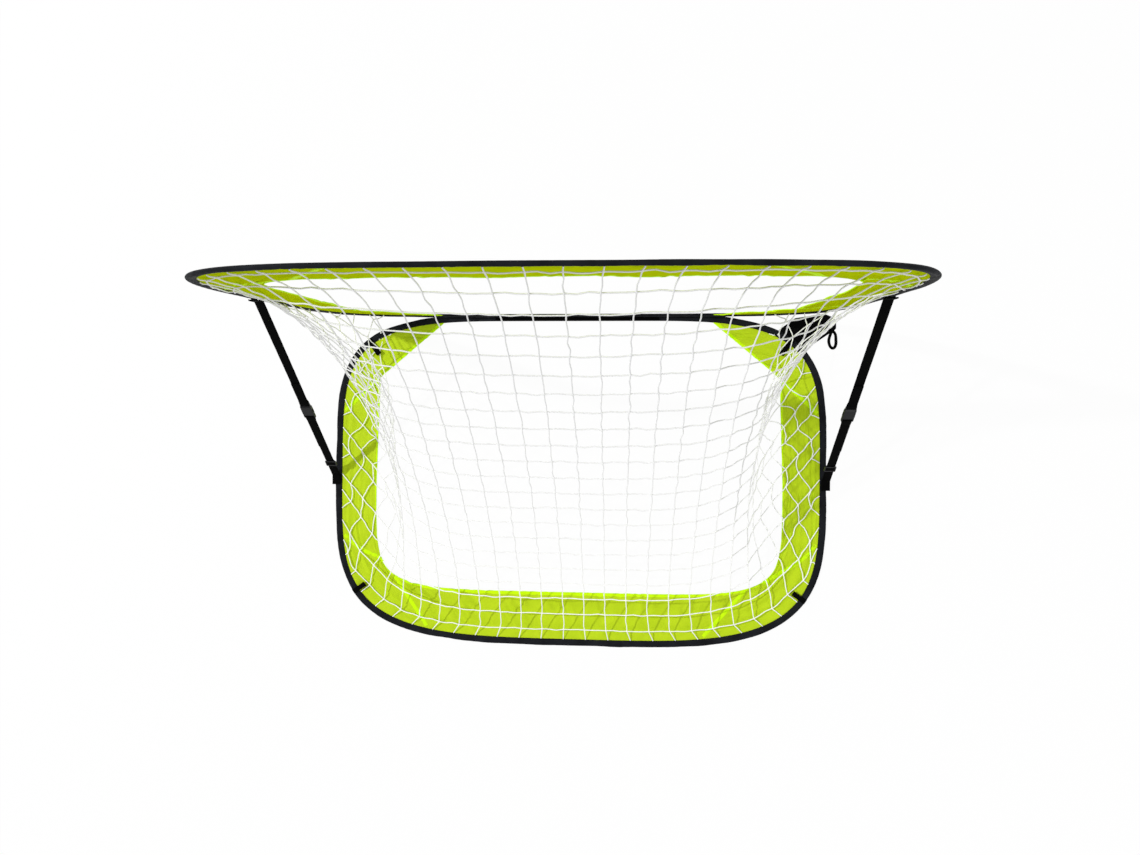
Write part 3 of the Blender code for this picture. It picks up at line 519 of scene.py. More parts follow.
def make_webbing():
    """Ribs along the strap, picks across them and a little fuzz."""
    f = Finish("webbing", (0.001, 0.001, 0.001), 0.80, gloss=0.05)
    at = f.cloth()
    ribs, picks = f.wave(at, "Y", 0.0022), f.wave(at, "X", 0.0014)
    woof = f.math("ADD", f.math("MULTIPLY", ribs, 0.7), f.math("MULTIPLY", picks, 0.3))
    f.set("Base Color", f.mix(f.ramp(woof, 0.3, 1.0), (0.0004, 0.0004, 0.0005), (0.0018, 0.0018, 0.0020)))
    return f.relief(woof, 0.00022, 0.8, f.bump(f.noise(at, 1800), 0.0001, 0.4))


def make_cord():
    """Twisted white cord, darker higher in the net: painted shade on the upper cords."""
    f = Finish("net_cord", (0.95, 0.95, 0.94), 0.65, gloss=0.1)
    lay = f.add("VectorMath", {0: f.cloth(), 1: (1.0, 0.6, 0.0)}, operation="MULTIPLY")
    height = f.add("SeparateXYZ", {0: f.place()}).outputs["Z"]
    # Painted shade: the cord's colour darkens from 0.97 to 0.80 as it rises from 0.12 to 0.70 m
    f.set("Base Color", f.mix(f.ramp(height, 0.12, 0.70), (0.97, 0.97, 0.96), (0.80, 0.80, 0.81)))
    return f.relief(f.wave(lay.outputs[0], "DIAGONAL", 0.0024), 0.00025, 0.7)


def make_plastic():
    f = Finish("black_plastic", (0.004, 0.004, 0.005), 0.30, gloss=0.25)
    at = f.place()
    f.uneven(at, 220, 3.0, 0.24, 0.38)
    f.set("Base Color", f.mix(f.noise(at, 90), (0.003, 0.003, 0.004), (0.006, 0.006, 0.007)))
    return f.relief(f.noise(at, 2600), 0.00006, 0.5)


def make_steel():
    f = Finish("spring_steel", (0.45, 0.46, 0.48), 0.3, 1.0)
    at = f.place()
    f.uneven(at, 300, 3.0, 0.24, 0.42)
    return f.relief(f.noise(at, 1500), 0.00004, 0.5)


LOOKS = {name: make_woven(name) for name in WOVEN}
LOOKS.update(webbing=make_webbing(), net_cord=make_cord(), black_plastic=make_plastic(),
             spring_steel=make_steel())


def dress_nodes():
    """Materials of the nodes that show as they are."""
    for name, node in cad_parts.items():
        for word, look in SOLID_LOOKS.items():
            if word in name and "tab" not in name:
                node.data.materials.clear()
                node.data.materials.append(LOOKS[look])


# Sleeves

def sleeve_profile():
    """Cross-section (in from the edge, height) round the outside and back inside the channel."""
    top = [(0.0160, 0.0055), (0.0151, 0.0058), (0.0138, 0.0061), (0.0122, 0.0066), (0.0104, 0.00715),
           (0.0086, 0.0076), (0.0067, 0.0079), (0.0049, 0.0080), (0.0033, 0.0078), (0.0019, 0.0071),
           (0.0008, 0.0060), (0.0001, 0.0048)]
    low = [(u, SLEEVE_THICKNESS - h) for u, h in reversed(top)]
    low = [(u, max(0.0001, h - 0.0004 * (u > 0.003))) for u, h in low]
    inside = [(0.0160, 0.0033), (0.0110, 0.0034), (0.0070, 0.0012), (0.0030, 0.0014), (0.0012, 0.0040),
              (0.0030, 0.0066), (0.0070, 0.0068), (0.0110, 0.0046), (0.0160, 0.0047)]
    return np.array(top + low + inside), len(top) * 2


def make_sleeve(body, seed):
    """Cloth sewn round the wire: puckers at its seam, slack between them, a slow drift of its width."""
    hoop, place = HOOPS[body]
    profile, outside = sleeve_profile()
    stations = int(hoop.length / SLEEVE_STEP)
    s = np.arange(stations) * hoop.length / stations
    point, inward = hoop.at(s)
    a, side = s[:, None], arc(profile)[None]
    u, h = profile.T
    upper = np.where(h > MID, 1.0, 0.35) * (np.arange(len(u)) < outside)
    pucker = ripples(a, side, seed, 0.011, 0.026, 11, 0.7)
    slack = ripples(a, side * 0.4, seed + 1, 0.06, 0.19, 7, 0.4)
    near_seam = 0.35 + 0.65 * smooth((u - 0.004) / 0.009)
    swell = SLEEVE_SWELL * (pucker * near_seam + slack) * upper
    away = unit(profile - (0.0065, MID))
    drift = 0.0005 * ripples(s, 0 * s, seed + 2, 0.12, 0.4, 5, 0.2)[:, None]
    h = np.maximum(h + swell * away[:, 1], 0.0)
    u = u + swell * away[:, 0] * (u < 0.0155) + drift * (u < 0.012)
    grid = place(point[:, 0:1] + inward[:, 0:1] * u, point[:, 1:2] + inward[:, 1:2] * u, h)
    faces = grid_faces(stations, len(profile), 0, True, True)
    add_piece(f"sleeve_{body}", (grid.reshape(-1, 3), faces), "sleeve_cloth", cloth_coords(a, side), body,
              f"{body}_sleeve", angle=60)


# Lime border

def opening_edge(angle):
    """Plan points of the opening's far half."""
    across, along = superellipse(angle, OPENING_CORNER_POWER)
    return np.stack([OPENING_HALF * across, HALF_DEPTH + (HALF_DEPTH - FAR_BAND) * np.abs(along)], -1)


def far_seam_angle(seam):
    return math.acos((seam[1] / OPENING_HALF) ** (OPENING_CORNER_POWER / 2))


def far_seam_length(hoop, seam):
    return hoop.where(lambda x, d: (d > HALF_DEPTH) & (x <= seam[0]))


def strip_edges(hoop, kind, left_seam, mirror):
    """Outer edge of a border strip, inside the sleeve, and its inner edge; side strips lie on +X."""
    start = hoop.where(lambda x, d: x >= GUSSET_BAR_END)
    seam = hoop.where(lambda x, d: d >= GUSSET_SEAM_DEPTH)
    own = left_seam if mirror > 0 else FAR_SEAM
    if kind == "gusset":
        s, inner = (start, seam), np.array([(GUSSET_BAR_END, GUSSET_BAR_DEPTH), GUSSET_CORNER])
    elif kind == "side":
        s = (seam, far_seam_length(hoop, own))
        edge = opening_edge(far_seam_angle(own) * np.linspace(0, 1, 240) ** 3)
        inner = np.concatenate([[GUSSET_CORNER], edge])
    else:
        s = (far_seam_length(hoop, left_seam), hoop.length - far_seam_length(hoop, FAR_SEAM))
        ends = far_seam_angle(left_seam), math.pi - far_seam_angle(FAR_SEAM)
        inner = opening_edge(np.linspace(*ends, 400))
    steps = max(12, int((s[1] - s[0]) / STRIP_STEP[kind]))
    point, inward = hoop.at(np.linspace(*s, steps + 1))
    return point + inward * STRIP_TUCK, resample(inner, steps)


def cloth_lift(s, across, span, kind, seed, sharp):
    """Height of the cloth's soft folds: long down the side strips, short and slanted near the far hem."""
    share = across / span
    grow = smooth((across - 0.0055) / 0.016)
    broad = ripples(s, across, seed + 5, 0.09, 0.24, 7, 1.6)
    if kind == "side":
        pleats = ripples(across, s * 0.16, seed, 0.016, 0.042, 9, 0.8)
        return grow * (1.15 * pleats + 0.55 * broad) * (1 - 0.45 * smooth((share - 0.8) / 0.2))
    slanted = ripples(s + across * 0.55, across * 0.35, seed, 0.014, 0.036, 13, 1.0)
    patches = smooth(0.5 + 0.45 * ripples(s, across, seed + 9, 0.05, 0.13, 7, 2.0))
    near_hem = 0.15 + 0.85 * smooth((share - 0.30) / 0.45)
    return grow * (sharp * slanted * patches * near_hem + 0.50 * broad)


def make_strip(name, body, kind, mirror, node, seed):
    """One strip of lime cloth, its binding along the opening; returns its edges, middle and normals."""
    hoop, place = HOOPS[body]
    on_ground = body == "base"
    outer, inner = strip_edges(hoop, kind, LEFT_FAR_SEAM if on_ground else FAR_SEAM, mirror)
    share = np.linspace(0, 1, STRIP_COLUMNS[kind] + 1)
    flat = between(outer, inner, share)
    span = np.linalg.norm(inner - outer, axis=1)[:, None]
    across = span * share[None]
    s = np.broadcast_to(arc((outer + inner) / 2)[:, None], across.shape)
    ends = smooth(np.minimum(s, s.max() - s) / 0.02) * 0.8 + 0.2
    sharp = BASE_SHARPNESS[kind] if on_ground else FACE_SHARPNESS
    folds = cloth_lift(s, across, span, kind, seed, sharp) * ends
    height = MID + folds * (0.0009 if on_ground else 0.0012)
    if on_ground:
        height = np.maximum(height - 0.0010 * smooth((across - 0.006) / 0.04), 0.0014)
    middle = place(mirror * flat[..., 0], flat[..., 1], height)
    normal = surface_normals(middle)
    # The face hoop's strips take the darker copy of the lime: painted shade
    look = "lime_cloth" if on_ground else "lime_cloth_upright"
    piece = add_piece(name, slab(middle + normal * CLOTH_HALF, middle - normal * CLOTH_HALF), look,
                      cloth_coords(s, across, 2), body, node)
    hem = make_binding(name.replace("_cloth", "") + "_binding", middle, normal, s[:, -1], HEM_WIDTH,
                       "lime_binding", body)
    length = float(max(arc(outer)[-1], arc(inner)[-1]))
    return outer, inner, middle, normal


def make_binding(name, middle, normal, s, width, look, body):
    """Tape folded over the last edge of a grid of cloth."""
    edge = middle[:, -1]
    wobble = 1 + 0.07 * ripples(s, 0 * s, 11, 0.02, 0.07, 6, 0.2)[:, None]
    top = [(width, 0.00042), (width, 0.00085), (width * 0.6, 0.00105), (0.0010, 0.00105), (0.0001, 0.00075)]
    section = np.array(top + [(-0.0003, 0.0)] + [(u, -h) for u, h in reversed(top)]
                       + [(0.0004, -0.00042), (0.0004, 0.00042)])
    return add_piece(name, bar(edge, unit(middle[:, -2] - edge) * wobble, normal[:, -1], section), look,
                     cloth_coords(s[:, None], arc(section)), body)


def make_seam_tape(name, line, normal, body):
    """Tape over the seam between two strips, along a line of points."""
    side = np.cross(normal, unit(np.gradient(line, axis=0)))
    half = np.array([(-0.5, -0.5), (-0.44, -1.0), (0.44, -1.0), (0.5, -0.5)]) * (SEAM_TAPE_WIDTH, 0.0009)
    section = np.concatenate([half, -half])
    add_piece(name, bar(line, side, normal, section), "lime_binding",
              cloth_coords(arc(line)[:, None], section[:, 0]), body)


def make_border(body, far_name, seed):
    """The five strips of one hoop, with tapes on the side strips' seams and towards their far corners."""
    for (side, mirror), shift in zip(SIDES, (0, 40)):
        make_strip(f"{body}_gusset_cloth_{side}", body, "gusset", mirror, f"{body}_corner_gusset_{side}",
                   seed + shift)
        outer, inner, middle, normal = make_strip(f"{body}_side_cloth_{side}", body, "side", mirror,
                                                  f"{body}_side_band_{side}", seed + shift + 10)
        for end, row in (("front", 0), ("far", -1)):
            make_seam_tape(f"{body}_seam_tape_{end}_{side}", middle[row, 2:-1], normal[row, 2:-1], body)
        low, high = CORNER_TAPE[side if body == "base" else "right"]
        start, end = np.argmax(outer[:, 1] >= low), np.argmax(inner[:, 1] >= high)
        columns = np.arange(2, middle.shape[1] - 1)
        rows = start + (end - start) * columns / columns[-1]
        first, part = rows.astype(int), (rows % 1.0)[:, None]
        line = middle[first, columns] * (1 - part) + middle[first + 1, columns] * part
        make_seam_tape(f"{body}_seam_tape_corner_{side}", line, normal[first, columns], body)
    make_strip(f"{body}_{far_name}_cloth", body, "far", 1, f"{body}_{far_name}_band", seed + 90)


# Net

def net_pin(body, side, reach):
    """Where a cord is laced to a hoop's sleeve, by its length from the middle of the far bar."""
    hoop, place = HOOPS[body]
    point, inward = hoop.at(hoop.length / 2 - side * reach)
    return place(*(point + inward * NET_EDGE), NET_HEIGHT)


def net_rows(pins):
    """Rows run from side to side, and gain columns as they near the hinge corners."""
    for row in range(1, NET_ROWS):
        near = min(row, NET_ROWS - row) - 1
        body = "face" if row < NET_ROWS / 2 else "base"
        gained = NET_FLAP[near]
        keys = [("row", row, 1)] + [(row, column) for column in range(1 - gained, NET_COLUMNS + gained)]
        keys.append(("row", row, -1))
        reach = NET_COLUMNS / 2 * NET_PITCH[body] + NET_ROW_ENDS[near]
        for side in (1, -1):
            pins[("row", row, side)] = net_pin(body, side, reach)
        share = row / NET_ROWS
        cell = NET_TOP_CELL * (1 - share) + NET_BACK_CELL * share
        end = [NET_ROW_GAPS[near]] + [NET_FLAP_CELL] * (gained - 1)
        yield keys, end + [cell] * NET_COLUMNS + end[::-1], True


def net_columns(pins):
    """Columns run from the face's hoop to the base's, the outermost ones between the hoops' sides."""
    for column in range(1 - NET_FLAP[-1], NET_COLUMNS + NET_FLAP[-1]):
        past = max(0, -column, column - NET_COLUMNS)
        edge = min(column, NET_COLUMNS - column)
        first = 1
        if past:
            first = 1 + next(k for k, gained in enumerate(NET_FLAP) if gained > past)
            cell, ends = NET_SIDE_CELL, (NET_COLUMN_GAPS[past - 1],) * 2
        else:
            cell = NET_CELL + (NET_SIDE_CELL - NET_CELL) * max(0.0, 1 - edge / 4)
            ends = (NET_TOP_GAP, NET_BACK_GAP if edge > 1 else NET_BACK_GAP / 2)
        keys = [("top", column)] + [(row, column) for row in range(first, NET_ROWS - first + 1)]
        keys.append(("low", column))
        for body, key in (("face", keys[0]), ("base", keys[-1])):
            reach = abs(column - NET_COLUMNS / 2) * NET_PITCH[body]
            if past:
                reach = NET_COLUMNS / 2 * NET_PITCH[body] + NET_COLUMN_ENDS[past - 1]
            pins[key] = net_pin(body, 1 if column < NET_COLUMNS / 2 else -1, reach)
        yield keys, [ends[0]] + [cell] * (len(keys) - 3) + [ends[1]], False


def net_lines():
    """Pinned ends, and every row and column as its keys, its cords' lengths and whether it is a row."""
    pins = {}
    return pins, [*net_rows(pins), *net_columns(pins)]


def flat_net(pins, lines, knots):
    """Each knot in the middle of its neighbours, between the pinned ends."""
    count = len(knots)
    tie = np.zeros((count, count))
    for keys, _, _ in lines:
        for i, j in zip([knots[key] for key in keys], [knots[key] for key in keys[1:]]):
            tie[[i, j], [i, j]] += 1
            tie[[i, j], [j, i]] -= 1
    fixed = np.array([knots[key] for key in pins])
    free = np.setdiff1d(np.arange(count), fixed)
    spots = np.zeros((count, 3))
    spots[fixed] = np.array([pins[key] for key in pins])
    spots[free] = np.linalg.solve(tie[np.ix_(free, free)], -tie[np.ix_(free, fixed)] @ spots[fixed])
    return spots, fixed


def cut_cords(lines, knots, spots, random):
    """All points of the net, and for each line the chain of its points and the lengths between them."""
    nodes = list(spots)
    chains, lengths = [], []
    for keys, rest, _ in lines:
        chain = [knots[keys[0]]]
        for a, b in zip(keys, keys[1:]):
            for step in range(1, NET_STEPS):
                nodes.append(spots[knots[a]] + (spots[knots[b]] - spots[knots[a]]) * step / NET_STEPS)
                chain.append(len(nodes) - 1)
            chain.append(knots[b])
        chains.append(np.array(chain))
        cords = np.repeat(np.array(rest) / NET_STEPS, NET_STEPS)
        lengths.append(cords * (1 + UNEVEN_CORD * random.standard_normal(len(cords))))
    return np.array(nodes), chains, lengths


def let_down(x, weight, groups):
    """Lets the points sink until the cords hold them; no two cords of a group share a point."""
    before = x.copy()
    moving = weight > 0
    for _ in range(HANG_MOMENTS):
        speed = (x - before) * SPEED_KEPT
        before = x.copy()
        x[moving] += speed[moving] + FALL
        for _ in range(HANG_PASSES):
            for a, b, rest in groups:
                gap = x[b] - x[a]
                length = np.sqrt((gap * gap).sum(1))
                over = np.maximum(length - rest, 0.0) / np.maximum(length, 1e-9)
                push = gap * (over / np.maximum(weight[a] + weight[b], 1e-9))[:, None]
                x[a] += push * weight[a][:, None]
                x[b] -= push * weight[b][:, None]
        keep_clear(x, moving)


def soften(x, chains, random):
    """Rounds the cords between their knots, and bends each a little sideways."""
    for chain in chains:
        line = x[chain]
        soft = line.copy()
        soft[1:-1] = 0.5 * line[1:-1] + 0.25 * (line[:-2] + line[2:])
        keep = np.arange(len(chain)) % NET_STEPS == 0
        soft[keep] = line[keep]
        along = np.gradient(soft, axis=0)
        aside = np.stack([along[:, 1], -along[:, 0]], -1)
        aside /= np.maximum(np.linalg.norm(aside, axis=1, keepdims=True), 1e-6)
        bent = np.where(keep, 0.0, CORD_BEND * np.clip(random.standard_normal(len(chain)), -1.8, 1.8))
        bent[:NET_STEPS] = bent[-NET_STEPS:] = 0.0
        soft[:, :2] += aside * bent[:, None]
        x[chain] = soft


def hang_net():
    """Lets the net hang under its own weight; returns its points, the knots' numbers, lines and chains."""
    pins, lines = net_lines()
    knots = {}
    for keys, _, _ in lines:
        for key in keys:
            knots.setdefault(key, len(knots))
    spots, fixed = flat_net(pins, lines, knots)
    random = np.random.default_rng(NET_SEED)
    x, chains, lengths = cut_cords(lines, knots, spots, random)
    weight = np.ones(len(x))
    weight[fixed] = 0.0
    groups = []
    for rows in (True, False):
        chosen = [k for k, line in enumerate(lines) if line[2] == rows]
        for parity in (0, 1):
            a = np.concatenate([chains[k][parity:-1:2] for k in chosen])
            b = np.concatenate([chains[k][parity + 1::2] for k in chosen])
            groups.append((a, b, np.concatenate([lengths[k][parity::2] for k in chosen])))
    let_down(x, weight, groups)
    soften(x, chains, random)
    keep_clear(x, weight > 0)
    return x, knots, lines, chains


def net_floor(x, y):
    """Lowest height of the net's middle: on the border's cloth, or just over the ground inside it."""
    d = y + HALF_DEPTH
    inside = (np.abs(x) < OPENING_HALF) & (d < HOOP_DEPTH - FAR_BAND) & (d > 0.05)
    return np.where(inside, GROUND_NET_HEIGHT, CLOTH_NET_HEIGHT)


def keep_clear(x, moving):
    """Keeps the net's loose points above the base and behind the face's cloth, in place."""
    x[:, 2] = np.where(moving, np.maximum(x[:, 2], net_floor(x[:, 0], x[:, 1])), x[:, 2])
    normal = FACE_ROTATION[:, 2]
    away = x - FACE_ORIGIN
    height = HINGE_SETBACK - away @ normal
    up, aside = away @ FACE_ROTATION[:, 1], np.abs(x[:, 0])
    over_cloth = (aside > OPENING_HALF - 0.01) | (up > HOOP_DEPTH - FAR_BAND - 0.01) | (up < 0.17)
    least = np.where(over_cloth, FACE_NET_HEIGHT, NET_HEIGHT)
    x -= (np.maximum(least - height, 0.0) * moving)[:, None] * normal


def net_side(points):
    """Positive on the face hoop's side of the plane that halves the angle between the hoops."""
    fold = (math.pi / 2 - FACE_LEAN) / 2
    y = points[..., 1] - FACE_ORIGIN[1]
    z = points[..., 2] - FACE_ORIGIN[2]
    return z * math.cos(fold) - y * math.sin(fold)


def knot_shape(centre, first, second):
    """A small tied lump, longer along the first cord."""
    shape = bmesh.new()
    bmesh.ops.create_icosphere(shape, subdivisions=1, radius=1.0)
    verts = np.array([tuple(v.co) for v in shape.verts])
    faces = [tuple(v.index for v in f.verts) for f in shape.faces]
    shape.free()
    first = unit(first)
    second = unit(second - first * second.dot(first))
    axes = np.array([first * 0.87 + second * 0.5, second * 0.87 - first * 0.5, np.cross(first, second)])
    return (verts * KNOT_SIZE) @ axes + centre, faces


def split_line(line):
    """Runs of the line on either side of the plane between the hoops, each with its side."""
    side = net_side(line)
    run, upper = [line[0]], bool(side[0] > 0)
    for k in range(1, len(line)):
        if (side[k] > 0) != upper:
            share = side[k - 1] / (side[k - 1] - side[k])
            crossing = line[k - 1] + (line[k] - line[k - 1]) * share
            yield np.array(run + [crossing]), upper
            run, upper = [crossing], not upper
        run.append(line[k])
    yield np.array(run), upper


def make_net():
    """The net in two halves: each rides on its own hoop."""
    x, knots, lines, chains = hang_net()
    parts = {True: [], False: []}
    coords = {True: [], False: []}
    around = np.arange(NET_SIDES) / NET_SIDES * TAU * NET_RADIUS
    for chain in chains:
        for run, upper in split_line(catmull(x[chain], 2)):
            parts[upper].append(tube(run, NET_RADIUS, NET_SIDES))
            coords[upper].append(cloth_coords(arc(run)[:, None], around))

    ways = {}
    for keys, _, rows in lines:
        for before, here, after in zip(keys, keys[1:], keys[2:]):
            ways.setdefault(here, {})[rows] = x[knots[after]] - x[knots[before]]
    for key, way in ways.items():
        verts, faces = knot_shape(x[knots[key]], way[True], way[False])
        upper = bool(net_side(x[knots[key]]) > 0)
        parts[upper].append((verts, faces))
        coords[upper].append(verts[:, :2])

    folds = ((True, "net_upper", "face", -FACE_ROTATION[:, 2], face_place(0.0, 0.4, NET_HEIGHT)),
             (False, "net_lower", "base", (0, 0, 1), (0, 0, NET_HEIGHT)))
    for upper, name, body, axis, anchor in folds:
        piece = add_piece(name, join(parts[upper]), "net_cord", np.concatenate(coords[upper]), body, "net",
                          angle=70)
        tuple(axis)
        tuple(anchor)
        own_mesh(piece)


# Straps

def round_path(points, radius, steps=4):
    """The same path with its corners rounded."""
    points = np.asarray(points, float)
    result = [points[0]]
    for before, here, after in zip(points, points[1:], points[2:]):
        into, out = here - before, after - here
        reach = min(radius, 0.45 * np.linalg.norm(into), 0.45 * np.linalg.norm(out))
        start, end = here - unit(into) * reach, here + unit(out) * reach
        for t in np.arange(steps + 1) / steps:
            result.append((1 - t) ** 2 * start + 2 * t * (1 - t) * here + t * t * end)
    result.append(points[-1])
    return np.array(result)


def fill_path(points, step):
    """Adds points along its long spans."""
    result = [points[0]]
    for before, here in zip(points, points[1:]):
        count = max(1, int(np.linalg.norm(here - before) / step))
        result += [before + (here - before) * k / count for k in range(1, count + 1)]
    return np.array(result)


def ribbon(name, path, origin, axes, seed, body, *nodes, width=STRAP_WIDTH, thickness=STRAP_THICKNESS,
           thick_end=None, step=0.006):
    """Woven strap along a path in the plane of its last two axes, its width uneven by about a hundredth."""
    path = fill_path(path, step)
    s = arc(path)
    half = width / 2
    under = np.array([(-half + 0.0006, -0.5), (-half / 2, -0.47), (0, -0.46), (half / 2, -0.47),
                      (half - 0.0006, -0.5), (half, -0.25), (half, 0.25)])
    section = np.concatenate([under, -under])
    thick = np.full((len(path), 1), thickness)
    if thick_end:
        thick[s > s[-1] - HEM_FOLD] = thick_end
    inward = 1 - 0.012 * np.abs(ripples(s, 0 * s, seed, 0.03, 0.09, 5, 0.2))[:, None]
    solid = bar(origin + path @ axes[1:], axes[0] * inward, line_normals(path) @ axes[1:] * thick, section)
    return add_piece(name, solid, "webbing", cloth_coords(s[:, None], section[:, 0]), body, *nodes)


def weave_slider():
    """Path of the lower webbing over and under the slider's bars."""
    rise = HALF_SLIDER + GAP + STRAP_THICKNESS / 2
    slot = (FITTING_BAR + FITTING_SLOT) / 2
    end = (3 * FITTING_BAR + 2 * FITTING_SLOT) / 2 + 0.0006
    steps = ((-end - 0.003, 0.0), (-end, rise), (-slot, rise), (-slot, -rise), (slot, -rise), (slot, rise),
             (end, rise), (end + 0.003, 0.0))
    return [(SLIDER_PLACE + along, height) for along, height in steps]


def turn_round_bar(centre, sign, approach, ease, tail_end):
    """Path that comes up to a bar, goes round it and lies back beside itself as a tail."""
    clear = GAP + STRAP_THICKNESS / 2
    corner, side = 0.4 * clear, FITTING_BAR / 2
    radius = HALF_TONGUE + clear
    turn = [(side + corner, radius), (side + clear, HALF_TONGUE + corner)]
    path = [(-approach, 0.0), (-ease, radius)] + turn
    path += [(along, -height) for along, height in reversed(turn)]
    path += [(-ease, -radius), (-approach, -STRAP_THICKNESS - TAIL_GAP)]
    path = [(centre + along, sign * height) for along, height in path]
    return path + [(tail_end, -sign * (STRAP_THICKNESS + TAIL_GAP))]


def make_straps():
    """Two halves of each strap from sewn end to buckle, with the laps and tabs that hold them."""
    for name, side in SIDES:
        ends = {body: place(side * STRAP_OFFSET, STRAP_ANCHOR, CREASE_HEIGHT)
                for body, (_, place) in HOOPS.items()}
        low, high = ends["base"], ends["face"]
        length = float(np.linalg.norm(high - low))
        up = (high - low) / length
        across = np.array((1.0, 0.0, 0.0))
        lower_axes, upper_axes = [np.array([across, way, np.cross(across, way)]) for way in (up, -up)]

        path = [(0.0, 0.0)] + weave_slider() + turn_round_bar(TONGUE_PLACE, 1, 0.012, 0.004, TAIL_END)
        ribbon(f"strap_webbing_lower_{name}", round_path(path, 0.0009), low, lower_axes, 24 + side,
               f"strap_lower_{name}", f"strap_lower_{name}", thick_end=FOLDED_THICKNESS)

        socket = TONGUE_PLACE + TONGUE_LENGTH + GAP
        reach = length - (socket + SOCKET_LENGTH - FITTING_BAR / 2)
        path = [(0.0, 0.0)] + turn_round_bar(reach, -1, 0.014, 0.005, reach - UPPER_TAIL)
        piece = ribbon(f"strap_webbing_upper_{name}", round_path(path, 0.0009), high, upper_axes, 34 + side,
                       f"strap_upper_{name}", f"strap_upper_{name}")
        tuple(high)
        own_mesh(piece)

        lap = round_path([(0.0, 0.0), (STRAP_LAP, 0.0)], 0.001)
        for body, axes in (("base", np.eye(3)), ("face", (FACE_ROTATION * (1, 1, -1)).T)):
            ribbon(f"{body}_strap_lap_{name}", lap, ends[body], axes, 44, body)
            make_tab(f"{body}_strap_wrap_{name}", body, side, f"{body}_strap_tab_{name}")


def make_tab(name, body, side, node):
    """Webbing sewn over the sleeve under a strap's end, turned down over its outer side."""
    place = HOOPS[body][1]
    path = catmull([(0.0133, 0.0089), (0.0095, 0.0090), (0.0040, 0.0090), (-0.0020, 0.0089),
                    (-0.0060, 0.0089), (-0.0072, 0.0086)])
    skirt = catmull([(0.0005, 0.0084), (-0.0008, 0.0080), (-0.0012, 0.0066), (-0.0012, 0.0040),
                     (-0.0011, 0.0014)])
    parts, coords = [], []
    for line, along in ((path, (0.397, 0.423)), (skirt, (0.3972, 0.4228))):
        d = np.linspace(*along, 9)[:, None]
        layers = [line + line_normals(line) * TAB_HALF * sign for sign in (1, -1)]
        parts.append(slab(*[place(side * (HALF_WIDTH - layer[:, 0]), d, layer[:, 1]) for layer in layers]))
        coords.append(cloth_coords(arc(line), d, 2))
    add_piece(name, join(parts), "webbing", np.concatenate(coords), body, node)


# Loops, pouch and hinge tape

def eye_line(root, reach):
    """Centre line of a folded loop: sewn down at its root, open to an eye at its end."""
    layer = LOOP_THICKNESS + 0.0002
    sewn = SLEEVE_THICKNESS + GAP + LOOP_THICKNESS / 2 + 0.0001
    radius = LOOP_EYE / 2 + LOOP_THICKNESS / 2
    middle = MID + radius + 0.0030
    start = SLEEVE_WIDTH + 0.0030
    last = reach - radius
    turn = np.arange(1, 12) * math.pi / 12
    knee = start + 0.45 * (last - start)
    lower = catmull([(root, sewn), (root + 0.008, sewn), (start, sewn), (knee, middle - 0.60 * radius),
                     (last, middle - radius)])
    upper = catmull([(last, middle + radius), (knee, middle + 0.65 * radius), (start, sewn + layer),
                     (root + 0.008, sewn + layer), (root, sewn + layer)])
    tip = np.stack([last + radius * np.sin(turn), middle - radius * np.cos(turn)], -1)
    return np.concatenate([lower, tip, upper])


def make_peg_loops():
    for end, depth, reach in PEG_LOOPS:
        root = BASE_HOOP.where(lambda x, d: d >= depth)
        (x, d), (inward_x, inward_d) = BASE_HOOP.at(root)
        path = eye_line(0.002, SLEEVE_WIDTH + reach)
        for name, side in SIDES:
            axes = np.array([(side * inward_d, -inward_x, 0), (side * inward_x, inward_d, 0), (0, 0, 1)])
            ribbon(f"peg_strap_{end}_{name}", path, base_place(side * x, d, 0.0), axes, 54 + side, "base",
                   f"peg_loop_{end}_{name}", width=LOOP_WIDTH, thickness=LOOP_THICKNESS, step=0.0022)


def pouch_outline(steps):
    """The pouch's edge along the sleeve, and its outer edge."""
    first, last = [BASE_HOOP.where(lambda x, d: d >= depth) for depth in POUCH_DEPTHS]
    point, inward = BASE_HOOP.at(np.linspace(first, last, steps + 1))
    soft = resample(np.array(POUCH_OUTER_EDGE), 120)
    for _ in range(60):
        soft[1:-1] = 0.5 * soft[1:-1] + 0.25 * (soft[:-2] + soft[2:])
    return point - inward * GAP, resample(soft, steps)


def pouch_grid(shares):
    """Plan points, x and d of the pouch over its length and breadth, and its thickness there."""
    plan = between(*pouch_outline(POUCH_STEPS), shares)
    along = np.linspace(-1, 1, POUCH_STEPS + 1)[:, None]
    fill = 4 * shares * (1 - shares) * (1 - 0.7 * along ** 4)
    thick = POUCH_EDGE + (POUCH_THICKNESS - POUCH_EDGE) * np.maximum(fill, 0.0) ** 0.6
    return plan, plan[..., 0], plan[..., 1], thick


def make_pouch():
    """Flat filled pouch, with piping round its outer edge."""
    shares = np.linspace(0, 1, 25)
    plan, x, d, thick = pouch_grid(shares)
    inside = smooth(4 * shares * (1 - shares))
    creases = ripples(x, d, 61, 0.010, 0.030, 11, TAU) * inside
    top = base_place(-x, d, POUCH_BASE + thick + 0.00035 * creases)
    low = base_place(-x, d, POUCH_BASE + 0.0006 * inside)
    pouch = add_piece("pouch_body", slab(top, low), "pouch_cloth", cloth_coords(x, d, 2), "base",
                      "peg_pouch")

    rim = np.concatenate([plan[0, 1:], plan[1:-1, -1], plan[-1, :0:-1]])[::2]
    path = base_place(*(catmull(rim) * (-1, 1)).T, 0.0020)
    add_piece("pouch_piping", tube(path, 0.0013, 8), "webbing",
              cloth_coords(arc(path)[:, None], np.arange(8) * 0.001), "base")


